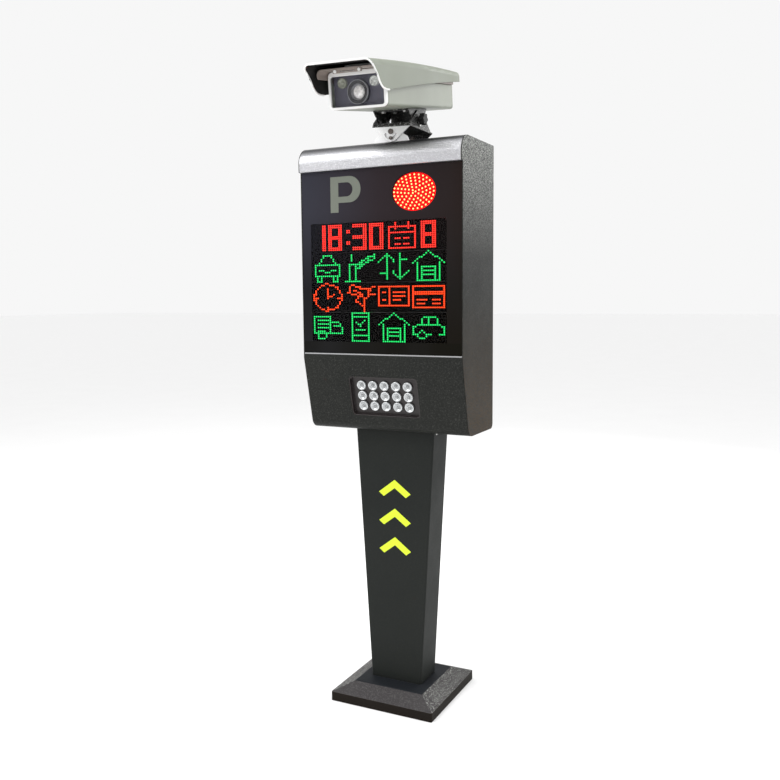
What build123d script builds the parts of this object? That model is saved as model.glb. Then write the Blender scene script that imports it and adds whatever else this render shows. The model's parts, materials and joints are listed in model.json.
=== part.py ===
from build123d import *
import math
import os

os.makedirs("parts", exist_ok=True)

# Frame: the origin is on the ground at the centre of the base. +X is to the right seen
# from the front, the front faces -Y, and +Z is up. Lengths are in millimetres.

# clearances
seam = 0.4              # between fixed sheet-metal pieces
seat = 0.2              # between an inside piece and what it is fixed to
running = 0.05          # radial play of a pin in its bore
side_play = 0.3         # between faces that move past each other

# foot
cover_width, cover_depth = 295, 288
cover_edge, cover_rise = 24, 22
cover_bevel = 50
cover_sheet = 2
plate_side, plate_thick = 236, 10
anchor_spacing, anchor_hole = 180, 14
cable_hole = 80

# post
post_foot_width, post_head_width = 143, 227
post_depth = 95
post_sheet = 3
post_bend = 5
head_plate_thick = 8
chevron_half, chevron_drop, chevron_rise = 46.5, 35, 22
chevron_tip_inset, chevron_tip_drop = 14, 11
chevron_top, chevron_pitch, chevron_count = 597, 77.5, 3
decal_thick = 0.3

# cabinet
cabinet_width = 450
cabinet_bottom, cabinet_top = 731, 1460
face_y, back_y = -126, 85
brow_step, brow_radius = 9, 42
window_bottom, window_top = 935, 1397
lip_height, lip_bend = 15, 3.5
chin_y, chin_radius = -84.5, 27
cabinet_sheet = 2
lining_width = 20       # flange behind the window's upright edges
upstand_height = 14     # flange behind its upper and lower edges
glass_thick = 4
gasket_thick, gasket_width = 3, 8
cover_back_y = 55

# display
module_width, module_height, module_depth = 380, 73.75, 14
module_count = 4
display_x, display_bottom = -7.5, 965
module_gap = 2
rail_height, rail_depth = 30, 14
lamp_x, lamp_z = 93, 1333
lamp_ring_counts = (3, 8, 13, 18, 23, 28)
lamp_half_width, lamp_half_height = 53.5, 41   # to the centres of the outer diodes
lamp_margin, lamp_led = 7, 5
symbol_left, symbol_bottom = -137, 1292
symbol_width, symbol_height, symbol_stroke = 87, 89, 23

# fill light, in the slanted panel
fill_width, fill_height, fill_corner = 195, 106, 11
fill_centre_z = 823
fill_recess = 11
lens_pitch_x, lens_pitch_y = 32.9, 27.5
lens_columns, lens_rows = 5, 3
lens_diameter, lens_height = 25, 6
heatsink_depth, fin_count = 24, 16

# rear door
door_half_width = 190
door_bottom, door_top = 775, 1405
door_gap, door_return = 2, 14
gutter_depth, gutter_lip = 27, 14
hinge_y, hinge_x = 6.5, 196
knuckle_radius, hinge_pin_radius = 5, 2.5
knuckle_height, hinge_height = 13, 40
hinge_levels = (860, 1300)
lock_x, lock_z = 160, 1090

# camera bracket
head_x, head_y = 17, -34
bracket_width, bracket_length, bracket_sheet = 104, 100, 3
base_rear = 80             # rear roll ear behind the tilt axis; the front one is half a bracket ahead
roll_rise, tilt_rise = 27, 62
roll_rest, tilt_rest = 1.8, 9.4
pivot_radius, lock_bolt_radius = 4, 2.5
roll_ear_radius, roll_slot_radius, roll_slot_half = 25, 16, 66
tilt_ear_radius, tilt_slot_radius, tilt_slot_half = 23, 13, 42
neck_radius = 10.5
knob_radius, knob_height = 15, 13

# camera housing, in its own frame: the tilt pivot is the origin and the lens looks along -Y
housing_rise = 26       # underside above the tilt pivot
housing_reach = 224     # front frame ahead of the pivot
housing_width, housing_height, housing_length = 149, 84, 395
housing_wall, housing_corner = 3, 8
lid_width, lid_drop = 160, 24
lid_corner, lid_front = 12, 14
visor_reach, visor_low = 40, 67.5
frame_depth, frame_band, frame_top_band, frame_corner = 10, 5.5, 10.5, 12
hood_width, hood_front, hood_back = 174, 90, 415
hood_top_front, hood_top_mid, hood_top_back = 98, 101.3, 94
hood_sheet, hood_corner = 2.5, 14
lens_centre = (-3, 37)
ir_centres = ((-46, 59), (38, 58.5))
ir_radius, ir_reach = 11.5, 8
barrel_radius, barrel_length, barrel_rim = 27, 50, 3


def block(x_range, y_range, z_range):
    size = [high - low for low, high in (x_range, y_range, z_range)]
    middle = [(high + low) / 2 for low, high in (x_range, y_range, z_range)]
    return Pos(*middle) * Box(*size)


def rod(start, direction, radius, length):
    return extrude(Plane(origin=start, z_dir=direction) * Circle(radius), length)


def hex_rod(start, direction, across_flats, length):
    radius = across_flats / math.sqrt(3)
    return extrude(Plane(origin=start, z_dir=direction) * RegularPolygon(radius, 6), length)


def joined(solids):
    total = solids[0]
    for solid in solids[1:]:
        total = total + solid
    return total


def write(name, shape):
    if isinstance(shape, list):
        shape = Compound(children=shape)
    export_step(shape, f"parts/{name}.step")


# ---- foot -----------------------------------------------------------------------------


def cover_solid(inset):
    # a bevelled slab: vertical edge, mitred bevel, flat top
    low = RectangleRounded(cover_width - 2 * inset, cover_depth - 2 * inset, 4)
    top_size = (cover_width - 2 * cover_bevel, cover_depth - 2 * cover_bevel)
    edge = extrude(low, cover_edge - inset / 2)
    bevel = loft([Pos(0, 0, cover_edge - inset / 2) * low,
                  Pos(0, 0, cover_edge + cover_rise - inset)
                  * RectangleRounded(top_size[0] - inset, top_size[1] - inset, 4)])
    return edge + bevel


def base_covers():
    shell = cover_solid(0) - cover_solid(cover_sheet)
    shell = shell - post_solid(-seam, plate_thick, cover_edge + cover_rise + 20)
    front = shell & block((-cover_width, cover_width), (-cover_depth, -seam / 2), (-1, 100))
    rear = shell & block((-cover_width, cover_width), (seam / 2, cover_depth), (-1, 100))
    return front, rear


def anchor_points(spacing):
    return [(x * spacing / 2, y * spacing / 2) for x in (-1, 1) for y in (-1, 1)]


def base_plate():
    plate = extrude(RectangleRounded(plate_side, plate_side, 12), plate_thick)
    for x, y in anchor_points(anchor_spacing):
        plate = plate - Pos(x, y, plate_thick / 2) * Cylinder(anchor_hole / 2, 2 * plate_thick)
    return plate - Pos(0, 0, plate_thick / 2) * Cylinder(cable_hole / 2, 2 * plate_thick)


def cover_tabs():
    # angle tabs on the base plate that the two cover halves hook onto
    reach = cover_width / 2 - cover_sheet - seat
    tabs = []
    for side in (-1, 1):
        foot = block((plate_side / 2 - 25, reach), (-12, 12), (plate_thick, plate_thick + 2))
        upright = block((reach - 2, reach), (-12, 12), (plate_thick, cover_edge - 2))
        tab = foot + upright
        tabs.append(tab if side > 0 else mirror(tab, Plane.YZ))
    return tabs


# ---- post -----------------------------------------------------------------------------


def post_width(z):
    share = (z - plate_thick) / (cabinet_bottom - plate_thick)
    return post_foot_width + (post_head_width - post_foot_width) * share


def post_solid(inset, low, high):
    # the post is a tapered box section; a negative inset makes it larger
    bend = max(post_bend - inset, 1)
    ends = [Pos(0, 0, z) * RectangleRounded(post_width(z) - 2 * inset, post_depth - 2 * inset, bend)
            for z in (low, high)]
    return loft(ends)


def post():
    top = cabinet_bottom - seam
    return post_solid(0, plate_thick, top) - post_solid(post_sheet, plate_thick - 1, top + 1)


bolt_x, bolt_y = 85, 28
head_bolt = 10


def head_bolt_points():
    return [(x * bolt_x, y * bolt_y) for x in (-1, 1) for y in (-1, 1)]


def drilled(plate, points, diameter, z):
    for x, y in points:
        plate = plate - Pos(x, y, z) * Cylinder(diameter / 2, 60)
    return plate


def post_head_plate():
    top = cabinet_bottom - seam
    low = top - head_plate_thick
    plate = post_solid(post_sheet + seat, low, top)
    plate = drilled(plate, head_bolt_points(), head_bolt + 1, top)
    return plate - Pos(0, 0, top) * Cylinder(30, 60)


floor_plate_thick = 6


def floor_plate():
    low = cabinet_bottom + cabinet_sheet
    plate = block((-115, 115), (-42, 42), (low, low + floor_plate_thick))
    plate = drilled(plate, head_bolt_points(), head_bolt + 1, low)
    return plate - Pos(0, 0, low) * Cylinder(30, 60)


def head_fasteners():
    low = cabinet_bottom - seam - head_plate_thick
    high = cabinet_bottom + cabinet_sheet + floor_plate_thick
    bolts = []
    nuts = []
    for x, y in head_bolt_points():
        head = hex_rod((x, y, low - 6), (0, 0, 1), 16, 6)
        bolts.append(head + rod((x, y, low - 1), (0, 0, 1), head_bolt / 2, high - low + 14))
        nut = hex_rod((x, y, high), (0, 0, 1), 16, 8)
        nuts.append(nut - rod((x, y, high - 1), (0, 0, 1), head_bolt / 2 + seat, 10))
    return bolts, nuts


def chevrons():
    front = -post_depth / 2
    shapes = []
    for row in range(chevron_count):
        apex = chevron_top - row * chevron_pitch
        tip = apex - chevron_drop
        lower = tip - chevron_tip_drop
        outline = Polyline((0, apex), (chevron_half, tip), (chevron_half - chevron_tip_inset, lower),
                           (0, apex - chevron_rise), (-chevron_half + chevron_tip_inset, lower),
                           (-chevron_half, tip), close=True)
        plane = Plane(origin=(0, front, 0), x_dir=(1, 0, 0), z_dir=(0, -1, 0))
        shapes.append(extrude(plane * make_face(outline), decal_thick))
    return shapes


def post_screws():
    # cross-head screws through the post's sides into the head plate
    z = cabinet_bottom - seam - head_plate_thick / 2
    screws = []
    for side in (-1, 1):
        x = side * (post_width(z) / 2 + seat + 0.1)
        head = rod((x, -post_depth / 2 + 14, z), (side, 0, 0), 4, 2.5)
        screws.append(head)
    return screws


# ---- cabinet --------------------------------------------------------------------------


def side_corners():
    # corners of the side outline as (y, z, bend radius), anticlockwise seen from +X
    brow_y = face_y - brow_step
    return [(back_y, cabinet_bottom, 15), (back_y, cabinet_top, 4), (brow_y, cabinet_top, brow_radius),
            (brow_y, window_top, 3), (face_y, window_top, 0), (face_y, window_bottom, 0),
            (face_y, window_bottom - lip_height, 10), (chin_y, cabinet_bottom, chin_radius)]


def inset_corners(corners, inset):
    # moves every edge of the outline inwards and keeps the bends concentric
    result = []
    for i, (y, z, radius) in enumerate(corners):
        before, after = corners[i - 1], corners[(i + 1) % len(corners)]
        in_dir = (y - before[0], z - before[1])
        out_dir = (after[0] - y, after[1] - z)
        n_in, n_out = [(-d[1] / math.hypot(*d), d[0] / math.hypot(*d)) for d in (in_dir, out_dir)]
        turn = 1 + n_in[0] * n_out[0] + n_in[1] * n_out[1]
        if abs(turn) < 1e-9:
            raise ValueError("the outline folds back on itself")
        result.append((y + inset * (n_in[0] + n_out[0]) / turn,
                       z + inset * (n_in[1] + n_out[1]) / turn, max(radius - inset, 0)))
    return result


def side_face(inset):
    corners = inset_corners(side_corners(), inset)
    outline = make_face(Polyline(*[(y, z) for y, z, radius in corners], close=True))
    for y, z, radius in corners:
        if radius > 0:
            corner = outline.vertices().sort_by_distance((y, z, 0))[0]
            outline = fillet(corner, radius)
    return Plane.YZ * outline


def cabinet_prism(inset, half_width):
    return extrude(side_face(inset), half_width, both=True)


inner_half = cabinet_width / 2 - cabinet_sheet
chin_back = chin_y + chin_radius + 3


def window_box(margin, y_range):
    half = inner_half - margin
    return block((-half, half), y_range, (window_bottom + margin, window_top - margin))


def cabinet_body():
    body = cabinet_prism(0, cabinet_width / 2) - cabinet_prism(cabinet_sheet, inner_half)
    # the front between the side walls belongs to the top cover, window and lower panel
    middle_z = (window_bottom + window_top) / 2
    body = body - block((-inner_half, inner_half), (-400, cover_back_y), (middle_z, 2000))
    body = body - block((-inner_half, inner_half), (-400, chin_back), (0, middle_z))
    body = body + side_flanges() + door_gutter()
    body = body - block((-door_half_width, door_half_width),
                        (back_y - cabinet_sheet - 1, back_y + 1), (door_bottom, door_top))
    body = drilled(body, head_bolt_points(), head_bolt + 1, cabinet_bottom)
    body = body - Pos(0, 0, cabinet_bottom) * Cylinder(30, 20)
    return body - speaker_slots()


def side_flanges():
    # flanges behind the window's two upright edges, which carry the gasket
    front = face_y + 1 + glass_thick + gasket_thick
    flanges = []
    for side in (-1, 1):
        x_range = sorted((side * (inner_half - lining_width), side * (inner_half + 0.5)))
        flanges.append(block(x_range, (front, front + cabinet_sheet),
                             (window_bottom + upstand_height + seam, window_top - upstand_height - seam)))
    return joined(flanges)


def door_gutter():
    outer = door_half_width + cabinet_sheet
    deep = back_y - gutter_depth
    y_range = (deep, back_y - cabinet_sheet / 2)
    tube = block((-outer, outer), y_range, (door_bottom - cabinet_sheet, door_top + cabinet_sheet))
    tube = tube - block((-door_half_width, door_half_width), (deep + cabinet_sheet, back_y + 1),
                        (door_bottom, door_top))
    inner = door_half_width - gutter_lip
    return tube - block((-inner, inner), (deep - 1, back_y), (door_bottom + gutter_lip, door_top - gutter_lip))


def top_cover():
    half = inner_half - seam
    wrap = cabinet_prism(0, half) - cabinet_prism(cabinet_sheet, half + 1)
    wrap = wrap & block((-half, half), (-300, cover_back_y - seam), (window_top + seam / 2, 1600))
    # the brow's lower lip turns in behind the window's upper edge
    deep = face_y + 1 + glass_thick + gasket_thick
    lip = block((-half, half), (face_y - brow_step + 3, deep + cabinet_sheet),
                (window_top + seam / 2, window_top + seam / 2 + cabinet_sheet))
    drop = block((-half, half), (deep, deep + cabinet_sheet), (window_top - upstand_height, window_top + 1))
    shell = wrap + lip + drop
    for x, y in bracket_bolt_points():
        shell = shell - Pos(x, y, cabinet_top) * Cylinder(3.2, 20)
    return shell - Pos(*gland_point, cabinet_top) * Cylinder(8.2, 20)


def lower_front_panel():
    half = inner_half - seam
    wrap = cabinet_prism(0, half) - cabinet_prism(cabinet_sheet, half + 1)
    wrap = wrap & block((-half, half), (-300, chin_back - seam), (0, window_bottom - seam / 2))
    deep = face_y + 1 + glass_thick + gasket_thick
    shelf_top = window_bottom - seam / 2
    shelf = block((-half, half), (face_y + 1, deep + cabinet_sheet), (shelf_top - cabinet_sheet, shelf_top))
    upstand = block((-half, half), (deep, deep + cabinet_sheet), (shelf_top - 1, window_bottom + upstand_height))
    opening = extrude(fill_plane(0) * RectangleRounded(fill_width, fill_height, fill_corner), 20, both=True)
    panel = wrap + shelf + upstand - opening
    edge = panel.edges().filter_by(Axis.X).filter_by_position(Axis.Y, face_y - 0.1, face_y + 0.1)
    return fillet(edge.filter_by_position(Axis.Z, shelf_top - 0.1, shelf_top + 0.1), lip_bend)


# ---- window and display ---------------------------------------------------------------

glass_front = face_y + 1
glass_back = glass_front + glass_thick
module_front = glass_back + 2
rail_front = module_front + module_depth


def display_window():
    return fillet(window_box(seam, (glass_front, glass_back)).edges().filter_by(Axis.Y), 2)


def window_gasket():
    y_range = (glass_back, glass_back + gasket_thick - seat)
    return window_box(seam, y_range) - window_box(seam + gasket_width, (glass_back - 1, glass_back + 9))


def parking_symbol():
    # a plain letter P cut from film on the front of the glass
    plane = Plane(origin=(symbol_left, glass_front, symbol_bottom), x_dir=(1, 0, 0), z_dir=(0, -1, 0))
    bar = 15
    bowl_height = symbol_height - 24
    bowl_low = symbol_height - bowl_height
    radius = bowl_height / 2
    bowl = Pos(symbol_width / 2, bowl_low + radius) * Rectangle(symbol_width, bowl_height)
    right_corners = bowl.vertices().group_by(Axis.X)[-1]
    bowl = fillet(right_corners, radius - 0.1)
    hole = Pos(symbol_width / 2, bowl_low + radius)
    hole = hole * Rectangle(symbol_width - 2 * symbol_stroke, bowl_height - 2 * bar)
    hole = fillet(hole.vertices().group_by(Axis.X)[-1], radius - bar - 0.1)
    stem = Pos(symbol_stroke / 2, symbol_height / 2) * Rectangle(symbol_stroke, symbol_height)
    return extrude(plane * (bowl - hole + stem), decal_thick)


def module_level(row):
    return display_bottom + row * (module_height + module_gap)


def led_module(row):
    low = module_level(row)
    x_range = (display_x - module_width / 2, display_x + module_width / 2)
    module = block(x_range, (module_front, rail_front), (low, low + module_height))
    bays = 5
    bay = (module_width - 12) / bays
    for i in range(bays):
        start = x_range[0] + 6 + i * bay
        module = module - block((start + 3, start + bay - 3), (module_front + 5, rail_front + 1),
                                (low + 6, low + module_height - 6))
    return module


def rail_levels():
    seams = [module_level(row) - module_gap / 2 for row in range(1, module_count)]
    return seams + [lamp_z]


def display_rails():
    rails = []
    half = inner_half - seat
    for z in rail_levels():
        front = rail_front if z != lamp_z else lamp_board_front + 2
        z_range = (z - rail_height / 2, z + rail_height / 2)
        rail = block((-half, half), (front, front + rail_depth), z_range)
        hollow = block((-half - 1, half + 1), (front + 2, front + rail_depth + 1),
                       (z_range[0] + 2, z_range[1] - 2))
        rails.append(rail - hollow)
    return rails


lamp_board_front = glass_back + 9


def lamp_points():
    # rings of an ellipse, each turned a little further than the last
    rings = len(lamp_ring_counts)
    for ring, count in enumerate(lamp_ring_counts):
        share = (ring + 0.5) / (rings - 0.5)
        for i in range(count):
            angle = 2 * math.pi * (i + 0.37 * ring) / count
            yield share * lamp_half_width * math.cos(angle), share * lamp_half_height * math.sin(angle)


def signal_board():
    plane = Plane(origin=(lamp_x, lamp_board_front, lamp_z), x_dir=(1, 0, 0), z_dir=(0, 1, 0))
    return extrude(plane * Ellipse(lamp_half_width + lamp_margin, lamp_half_height + lamp_margin), 2)


def signal_leds():
    leds = []
    tip = glass_back + 2
    radius = lamp_led / 2
    for x, z in lamp_points():
        start = (lamp_x + x, tip + radius, lamp_z + z)
        led = rod(start, (0, 1, 0), radius, lamp_board_front - tip - radius)
        leds.append(led + Pos(*start) * Sphere(radius))
    return leds


def circuit_card(origin, width, height, chips):
    # a board standing on four posts; origin is its lower left corner on the plate it is fixed to
    x, y, z = origin
    board = block((x, x + width), (y + 6, y + 7.6), (z, z + height))
    for px in (x + 5, x + width - 5):
        for pz in (z + 5, z + height - 5):
            board = board + rod((px, y, pz), (0, 1, 0), 3, 6.5)
    for cx, cz, chip_width, chip_height, rise in chips:
        board = board + block((x + cx, x + cx + chip_width), (y + 7, y + 7.6 + rise),
                              (z + cz, z + cz + chip_height))
    return board


strap_thick = 2


def display_card():
    back = rail_front + rail_depth
    origin = (-55, back + strap_thick, rail_levels()[1] - 40)
    card = circuit_card(origin, 110, 80, [(10, 30, 22, 22, 2), (45, 12, 14, 50, 6), (75, 12, 25, 12, 9),
                                          (75, 45, 20, 20, 3)])
    # two straps across the rails carry the card's four posts
    low, high = rail_levels()[0], rail_levels()[2]
    return card, [block((x - 6, x + 6), (back, back + strap_thick), (low - 10, high + 10))
                  for x in (-50, 50)]


# ---- fill light -----------------------------------------------------------------------


def fill_plane(depth):
    # plane parallel to the slanted panel, depth below its outer face, centred on the light
    top_y, top_z = face_y, window_bottom - lip_height
    run, rise = chin_y - top_y, top_z - cabinet_bottom
    length = math.hypot(run, rise)
    outward = (0, -rise / length, -run / length)
    centre_y = chin_y - run * (fill_centre_z - cabinet_bottom) / rise
    origin = (0, centre_y - outward[1] * depth, fill_centre_z - outward[2] * depth)
    return Plane(origin=origin, x_dir=(1, 0, 0), z_dir=outward)


def fill_slab(width, height, corner, front, back):
    return extrude(fill_plane(back) * RectangleRounded(width, height, corner), back - front)


def lens_points():
    return [((i - (lens_columns - 1) / 2) * lens_pitch_x, (j - (lens_rows - 1) / 2) * lens_pitch_y)
            for j in range(lens_rows) for i in range(lens_columns)]


tray_sheet = 2


def fill_tray():
    width, height = fill_width - 2 * seam, fill_height - 2 * seam
    tray = fill_slab(width, height, fill_corner - seam, 0.5, fill_recess + tray_sheet)
    flange = fill_slab(width + 16, height + 16, fill_corner, cabinet_sheet + seat, cabinet_sheet + 2)
    inside = fill_slab(width - 2 * tray_sheet, height - 2 * tray_sheet, fill_corner - tray_sheet,
                       -1, fill_recess)
    tray = tray + flange - inside
    for x, y in lens_points():
        tray = tray - extrude(fill_plane(fill_recess + tray_sheet + 1) * Pos(x, y) * Circle(8), 6)
    return tray


def fill_lens():
    # a moulded collimator: a rim, a conical well and a small dome in its middle
    radius, height = lens_diameter / 2, lens_height
    outline = Polyline((0, 0), (radius - 1, 0), (radius, 1.5), (radius, height - 0.8),
                       (radius - 0.8, height), (radius - 2.2, height), (5.5, 2.2), (0, 2.2), close=True)
    body = revolve(Plane.XZ * make_face(outline), Axis.Z)
    return body + Pos(0, 0, 2.2) * scale(Sphere(4.5), (1, 1, 0.6)) - block((-20, 20), (-20, 20), (-20, 0))


def fill_lenses():
    base = fill_plane(fill_recess)
    lens = fill_lens()
    return [base.location * Pos(x, y, 0) * lens for x, y in lens_points()]


def fill_board():
    front = fill_recess + tray_sheet
    board = fill_slab(fill_width - 12, fill_height - 12, 4, front, front + 1.6)
    for x, y in lens_points():
        board = board + extrude(fill_plane(front + 1) * Pos(x, y) * Rectangle(5, 5), 3)
    return board


def fill_heatsink():
    front = fill_recess + tray_sheet + 1.6
    width, height = fill_width - 20, fill_height - 20
    sink = fill_slab(width, height, 2, front, front + 5)
    for i in range(fin_count):
        x = (i - (fin_count - 1) / 2) * (width - 4) / (fin_count - 1)
        fin = extrude(fill_plane(front + heatsink_depth) * Pos(x, 0) * Rectangle(2, height), heatsink_depth - 4)
        sink = sink + fin
    return sink


# ---- equipment inside the cabinet -----------------------------------------------------

gear_y = -20            # rear face of the equipment plate
gear_bottom, gear_top = 790, 1385


def gear_plate():
    half = inner_half - seat
    plate = block((-half, half), (gear_y - 2, gear_y), (gear_bottom, gear_top))
    for side in (-1, 1):
        x_range = sorted((side * half, side * (half - 2)))
        plate = plate + block(x_range, (gear_y - 2, gear_y + 18), (gear_bottom, gear_top))
    return plate


def power_supply():
    case = block((-170, -60), (gear_y, gear_y + 46), (1150, 1350))
    case = case - block((-166, -64), (gear_y + 20, gear_y + 50), (1140, 1168))
    for i in range(9):
        case = case + block((-160 + i * 10.5, -152.5 + i * 10.5), (gear_y + 15, gear_y + 30), (1152, 1166))
    case = case - block((-167, -63), (gear_y + 1.5, gear_y + 44), (1167, 1348))
    case = case + block((-160, -70), (gear_y + 1, gear_y + 32), (1200, 1330))
    for i in range(8):
        case = case - block((-155 + i * 10, -150 + i * 10), (gear_y + 43, gear_y + 50), (1200, 1330))
    return case


def controller_board():
    origin = (-30, gear_y, 1180)
    chips = [(20, 80, 30, 30, 3), (70, 90, 20, 14, 2), (10, 20, 16, 22, 14), (35, 20, 16, 22, 14),
             (70, 8, 60, 14, 10), (110, 50, 18, 50, 8)]
    return circuit_card(origin, 150, 130, chips)


def din_rail():
    rail = block((-150, 130), (gear_y, gear_y + 7.5), (958, 993))
    return rail - block((-151, 131), (gear_y + 1, gear_y + 8), (966, 985)) \
        - block((-151, 131), (gear_y - 1, gear_y + 6.5), (957, 961)) \
        - block((-151, 131), (gear_y - 1, gear_y + 6.5), (990, 994))


def circuit_breaker():
    front = gear_y + 7.5 + seat
    case = block((-140, -104), (front, front + 34), (930, 1020))
    case = case + block((-134, -110), (front + 33, front + 44), (950, 1000))
    return case + block((-130, -114), (front + 43, front + 52), (972, 986))


def terminal_block():
    front = gear_y + 7.5 + seat
    blocks = []
    for i in range(8):
        x = -70 + i * 12
        clip = block((x, x + 11.6), (front, front + 30), (950, 1004))
        blocks.append(clip - rod((x + 5.8, front + 20, 992), (0, 1, 0), 3, 20)
                      - rod((x + 5.8, front + 20, 962), (0, 1, 0), 3, 20))
    return blocks


speaker_x, speaker_y, speaker_radius = 172, 5, 38


def speaker_slots():
    z = cabinet_bottom
    slots = []
    for i in range(5):
        y = speaker_y + (i - 2) * 12
        half = math.sqrt((speaker_radius - 8) ** 2 - (y - speaker_y) ** 2)
        slots.append(block((speaker_x - half, speaker_x + half), (y - 2, y + 2), (z - 1, z + 4)))
    return joined(slots)


def loudspeaker():
    low = cabinet_bottom + cabinet_sheet
    outline = Polyline((speaker_radius - 6, 0), (speaker_radius, 0), (speaker_radius, 3),
                       (speaker_radius - 6, 6), (20, 22), (20, 34), (0, 34), (0, 14), (10, 14),
                       (speaker_radius - 6, 3), close=True)
    return Pos(speaker_x, speaker_y, low) * revolve(Plane.XZ * make_face(outline), Axis.Z)


gland_point = (120, 30)


def cabinet_gland():
    x, y = gland_point
    body = rod((x, y, cabinet_top - 10), (0, 0, 1), 8, 12)
    body = body + hex_rod((x, y, cabinet_top), (0, 0, 1), 22, 6)
    nut = rod((x, y, cabinet_top + 5.5), (0, 0, 1), 10, 12)
    gland = fillet((body + nut).edges().filter_by(GeomType.CIRCLE).group_by(Axis.Z)[-1], 3)
    lock_nut = hex_rod((x, y, cabinet_top - cabinet_sheet - 5), (0, 0, 1), 22, 5 - seat)
    return gland + lock_nut - rod((x, y, cabinet_top - 20), (0, 0, 1), 4, 60)


# ---- rear door ------------------------------------------------------------------------


def rear_door():
    half = door_half_width - door_gap
    z_range = (door_bottom + door_gap, door_top - door_gap)
    y_range = (back_y - door_return, back_y)
    door = block((-half, half), y_range, z_range)
    inner = half - cabinet_sheet
    door = door - block((-inner, inner), (y_range[0] - 1, back_y - cabinet_sheet),
                        (z_range[0] + cabinet_sheet, z_range[1] - cabinet_sheet))
    vents = []
    for i in range(8):
        z = door_top - 90 + i * 8
        vents.append(block((-50, 50), (back_y - 5, back_y + 1), (z, z + 3)))
    return door - joined(vents) - rod((lock_x, back_y - 20, lock_z), (0, 1, 0), lock_barrel_radius + seat, 40)


def door_gasket():
    deep = back_y - gutter_depth + cabinet_sheet
    y_range = (deep, back_y - door_return - side_play)
    half = door_half_width - seat
    ring = block((-half, half), y_range, (door_bottom + seat, door_top - seat))
    inner = half - gutter_lip + 4
    return ring - block((-inner, inner), (deep - 1, back_y),
                        (door_bottom + gutter_lip - 4, door_top - gutter_lip + 4))


def hinge_leaf(reach, fixed_side):
    # one leaf of a butt hinge at z = 0, its pin on the Z axis and its plate on +X
    plate_y = (-hinge_y, -hinge_y + 2)
    leaf = block((knuckle_radius + 1, reach), plate_y, (0, hinge_height))
    if fixed_side:
        spans = ((0, knuckle_height), (hinge_height - knuckle_height, hinge_height))
    else:
        spans = ((knuckle_height + side_play, hinge_height - knuckle_height - side_play),)
    for low, high in spans:
        leaf = leaf + block((0, knuckle_radius + 2), plate_y, (low, high))
        leaf = leaf + block((0, 2.5), (-hinge_y, 0), (low, high))
        leaf = leaf + rod((0, 0, low), (0, 0, 1), knuckle_radius, high - low)
    for z in (8, hinge_height - 8):
        leaf = leaf - rod((reach - 8, -20, z), (0, 1, 0), 2.2, 40)
    bore = hinge_pin_radius if fixed_side else hinge_pin_radius + running
    return leaf - rod((0, 0, -1), (0, 0, 1), bore, hinge_height + 2)


def hinge_sets():
    frame_leaves, door_leaves, pins = [], [], []
    for z in hinge_levels:
        place = Pos(-hinge_x, back_y + hinge_y, z)
        frame_leaves.append(place * mirror(hinge_leaf(27, True), Plane.YZ))
        door_leaves.append(place * Pos(0, side_play, 0) * trimmed_door_leaf())
        pins.append(place * rod((0, 0, -2), (0, 0, 1), hinge_pin_radius, hinge_height + 4))
    return frame_leaves, door_leaves, pins


def trimmed_door_leaf():
    # the door's leaf stands off its face by the side play, with its bore on the pin
    leaf = hinge_leaf(40, False)
    low, high = knuckle_height + side_play, hinge_height - knuckle_height - side_play
    leaf = leaf - rod((0, 0, low), (0, 0, 1), knuckle_radius + 1, high - low)
    tube = rod((0, -side_play, low), (0, 0, 1), knuckle_radius, high - low)
    web = block((0, 2.5), (-hinge_y, -3), (low, high))
    base = block((0, knuckle_radius + 3), (-hinge_y, -hinge_y + 2), (low, high))
    bore = rod((0, -side_play, low - 1), (0, 0, 1), hinge_pin_radius + running, high - low + 2)
    return leaf + tube + web + base - bore


lock_barrel_radius = 9
lock_plug_radius = 5


def lock_barrel():
    head = rod((lock_x, back_y + seat, lock_z), (0, 1, 0), 12, 3)
    head = fillet(head.edges().group_by(Axis.Y)[-1], 1)
    body = rod((lock_x, back_y - 18, lock_z), (0, 1, 0), lock_barrel_radius, 19)
    nut = hex_rod((lock_x, back_y - 8, lock_z), (0, 1, 0), 24, 5)
    return head + body + nut - rod((lock_x, back_y - 30, lock_z), (0, 1, 0), lock_plug_radius + running, 60)


def lock_cam():
    deep = back_y - gutter_depth - 0.6
    plug = rod((lock_x, deep - 3, lock_z), (0, 1, 0), lock_plug_radius, back_y + 3.4 - deep + 3)
    slot = block((lock_x - 0.6, lock_x + 0.6), (back_y - 3, back_y + 9), (lock_z - 3, lock_z + 3))
    arm = block((lock_x - 7, lock_x + 7), (deep - 3, deep), (lock_z - 26, lock_z + 7))
    return plug + arm - slot


# ---- camera bracket -------------------------------------------------------------------

roll_z = cabinet_top + roll_rise
tilt_z = cabinet_top + tilt_rise
bolt_offset = 34
top_half = bracket_width / 2 - bracket_sheet - side_play


def bracket_bolt_points():
    return [(head_x + x * bolt_offset, head_y + y * (bolt_offset - 4)) for x in (-1, 1) for y in (-1, 1)]


def ear_face(half_width, height, radius, shoulder):
    # a plate whose straight edge lies at the given height, runs in to a shoulder (half width,
    # height) and narrows from there to a rounded end about the origin
    side = math.copysign(1, height)
    angle = math.atan2(side * shoulder[1], shoulder[0]) - math.acos(radius / math.hypot(*shoulder))
    touch = (radius * math.cos(angle), side * radius * math.sin(angle))
    points = [touch, shoulder, (half_width, height), (-half_width, height),
              (-shoulder[0], shoulder[1]), (-touch[0], touch[1])]
    outline = [Line(points[i], points[i + 1]) for i in range(5)]
    outline.append(ThreePointArc(points[5], (0, -side * radius), points[0]))
    return make_face(outline)


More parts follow.
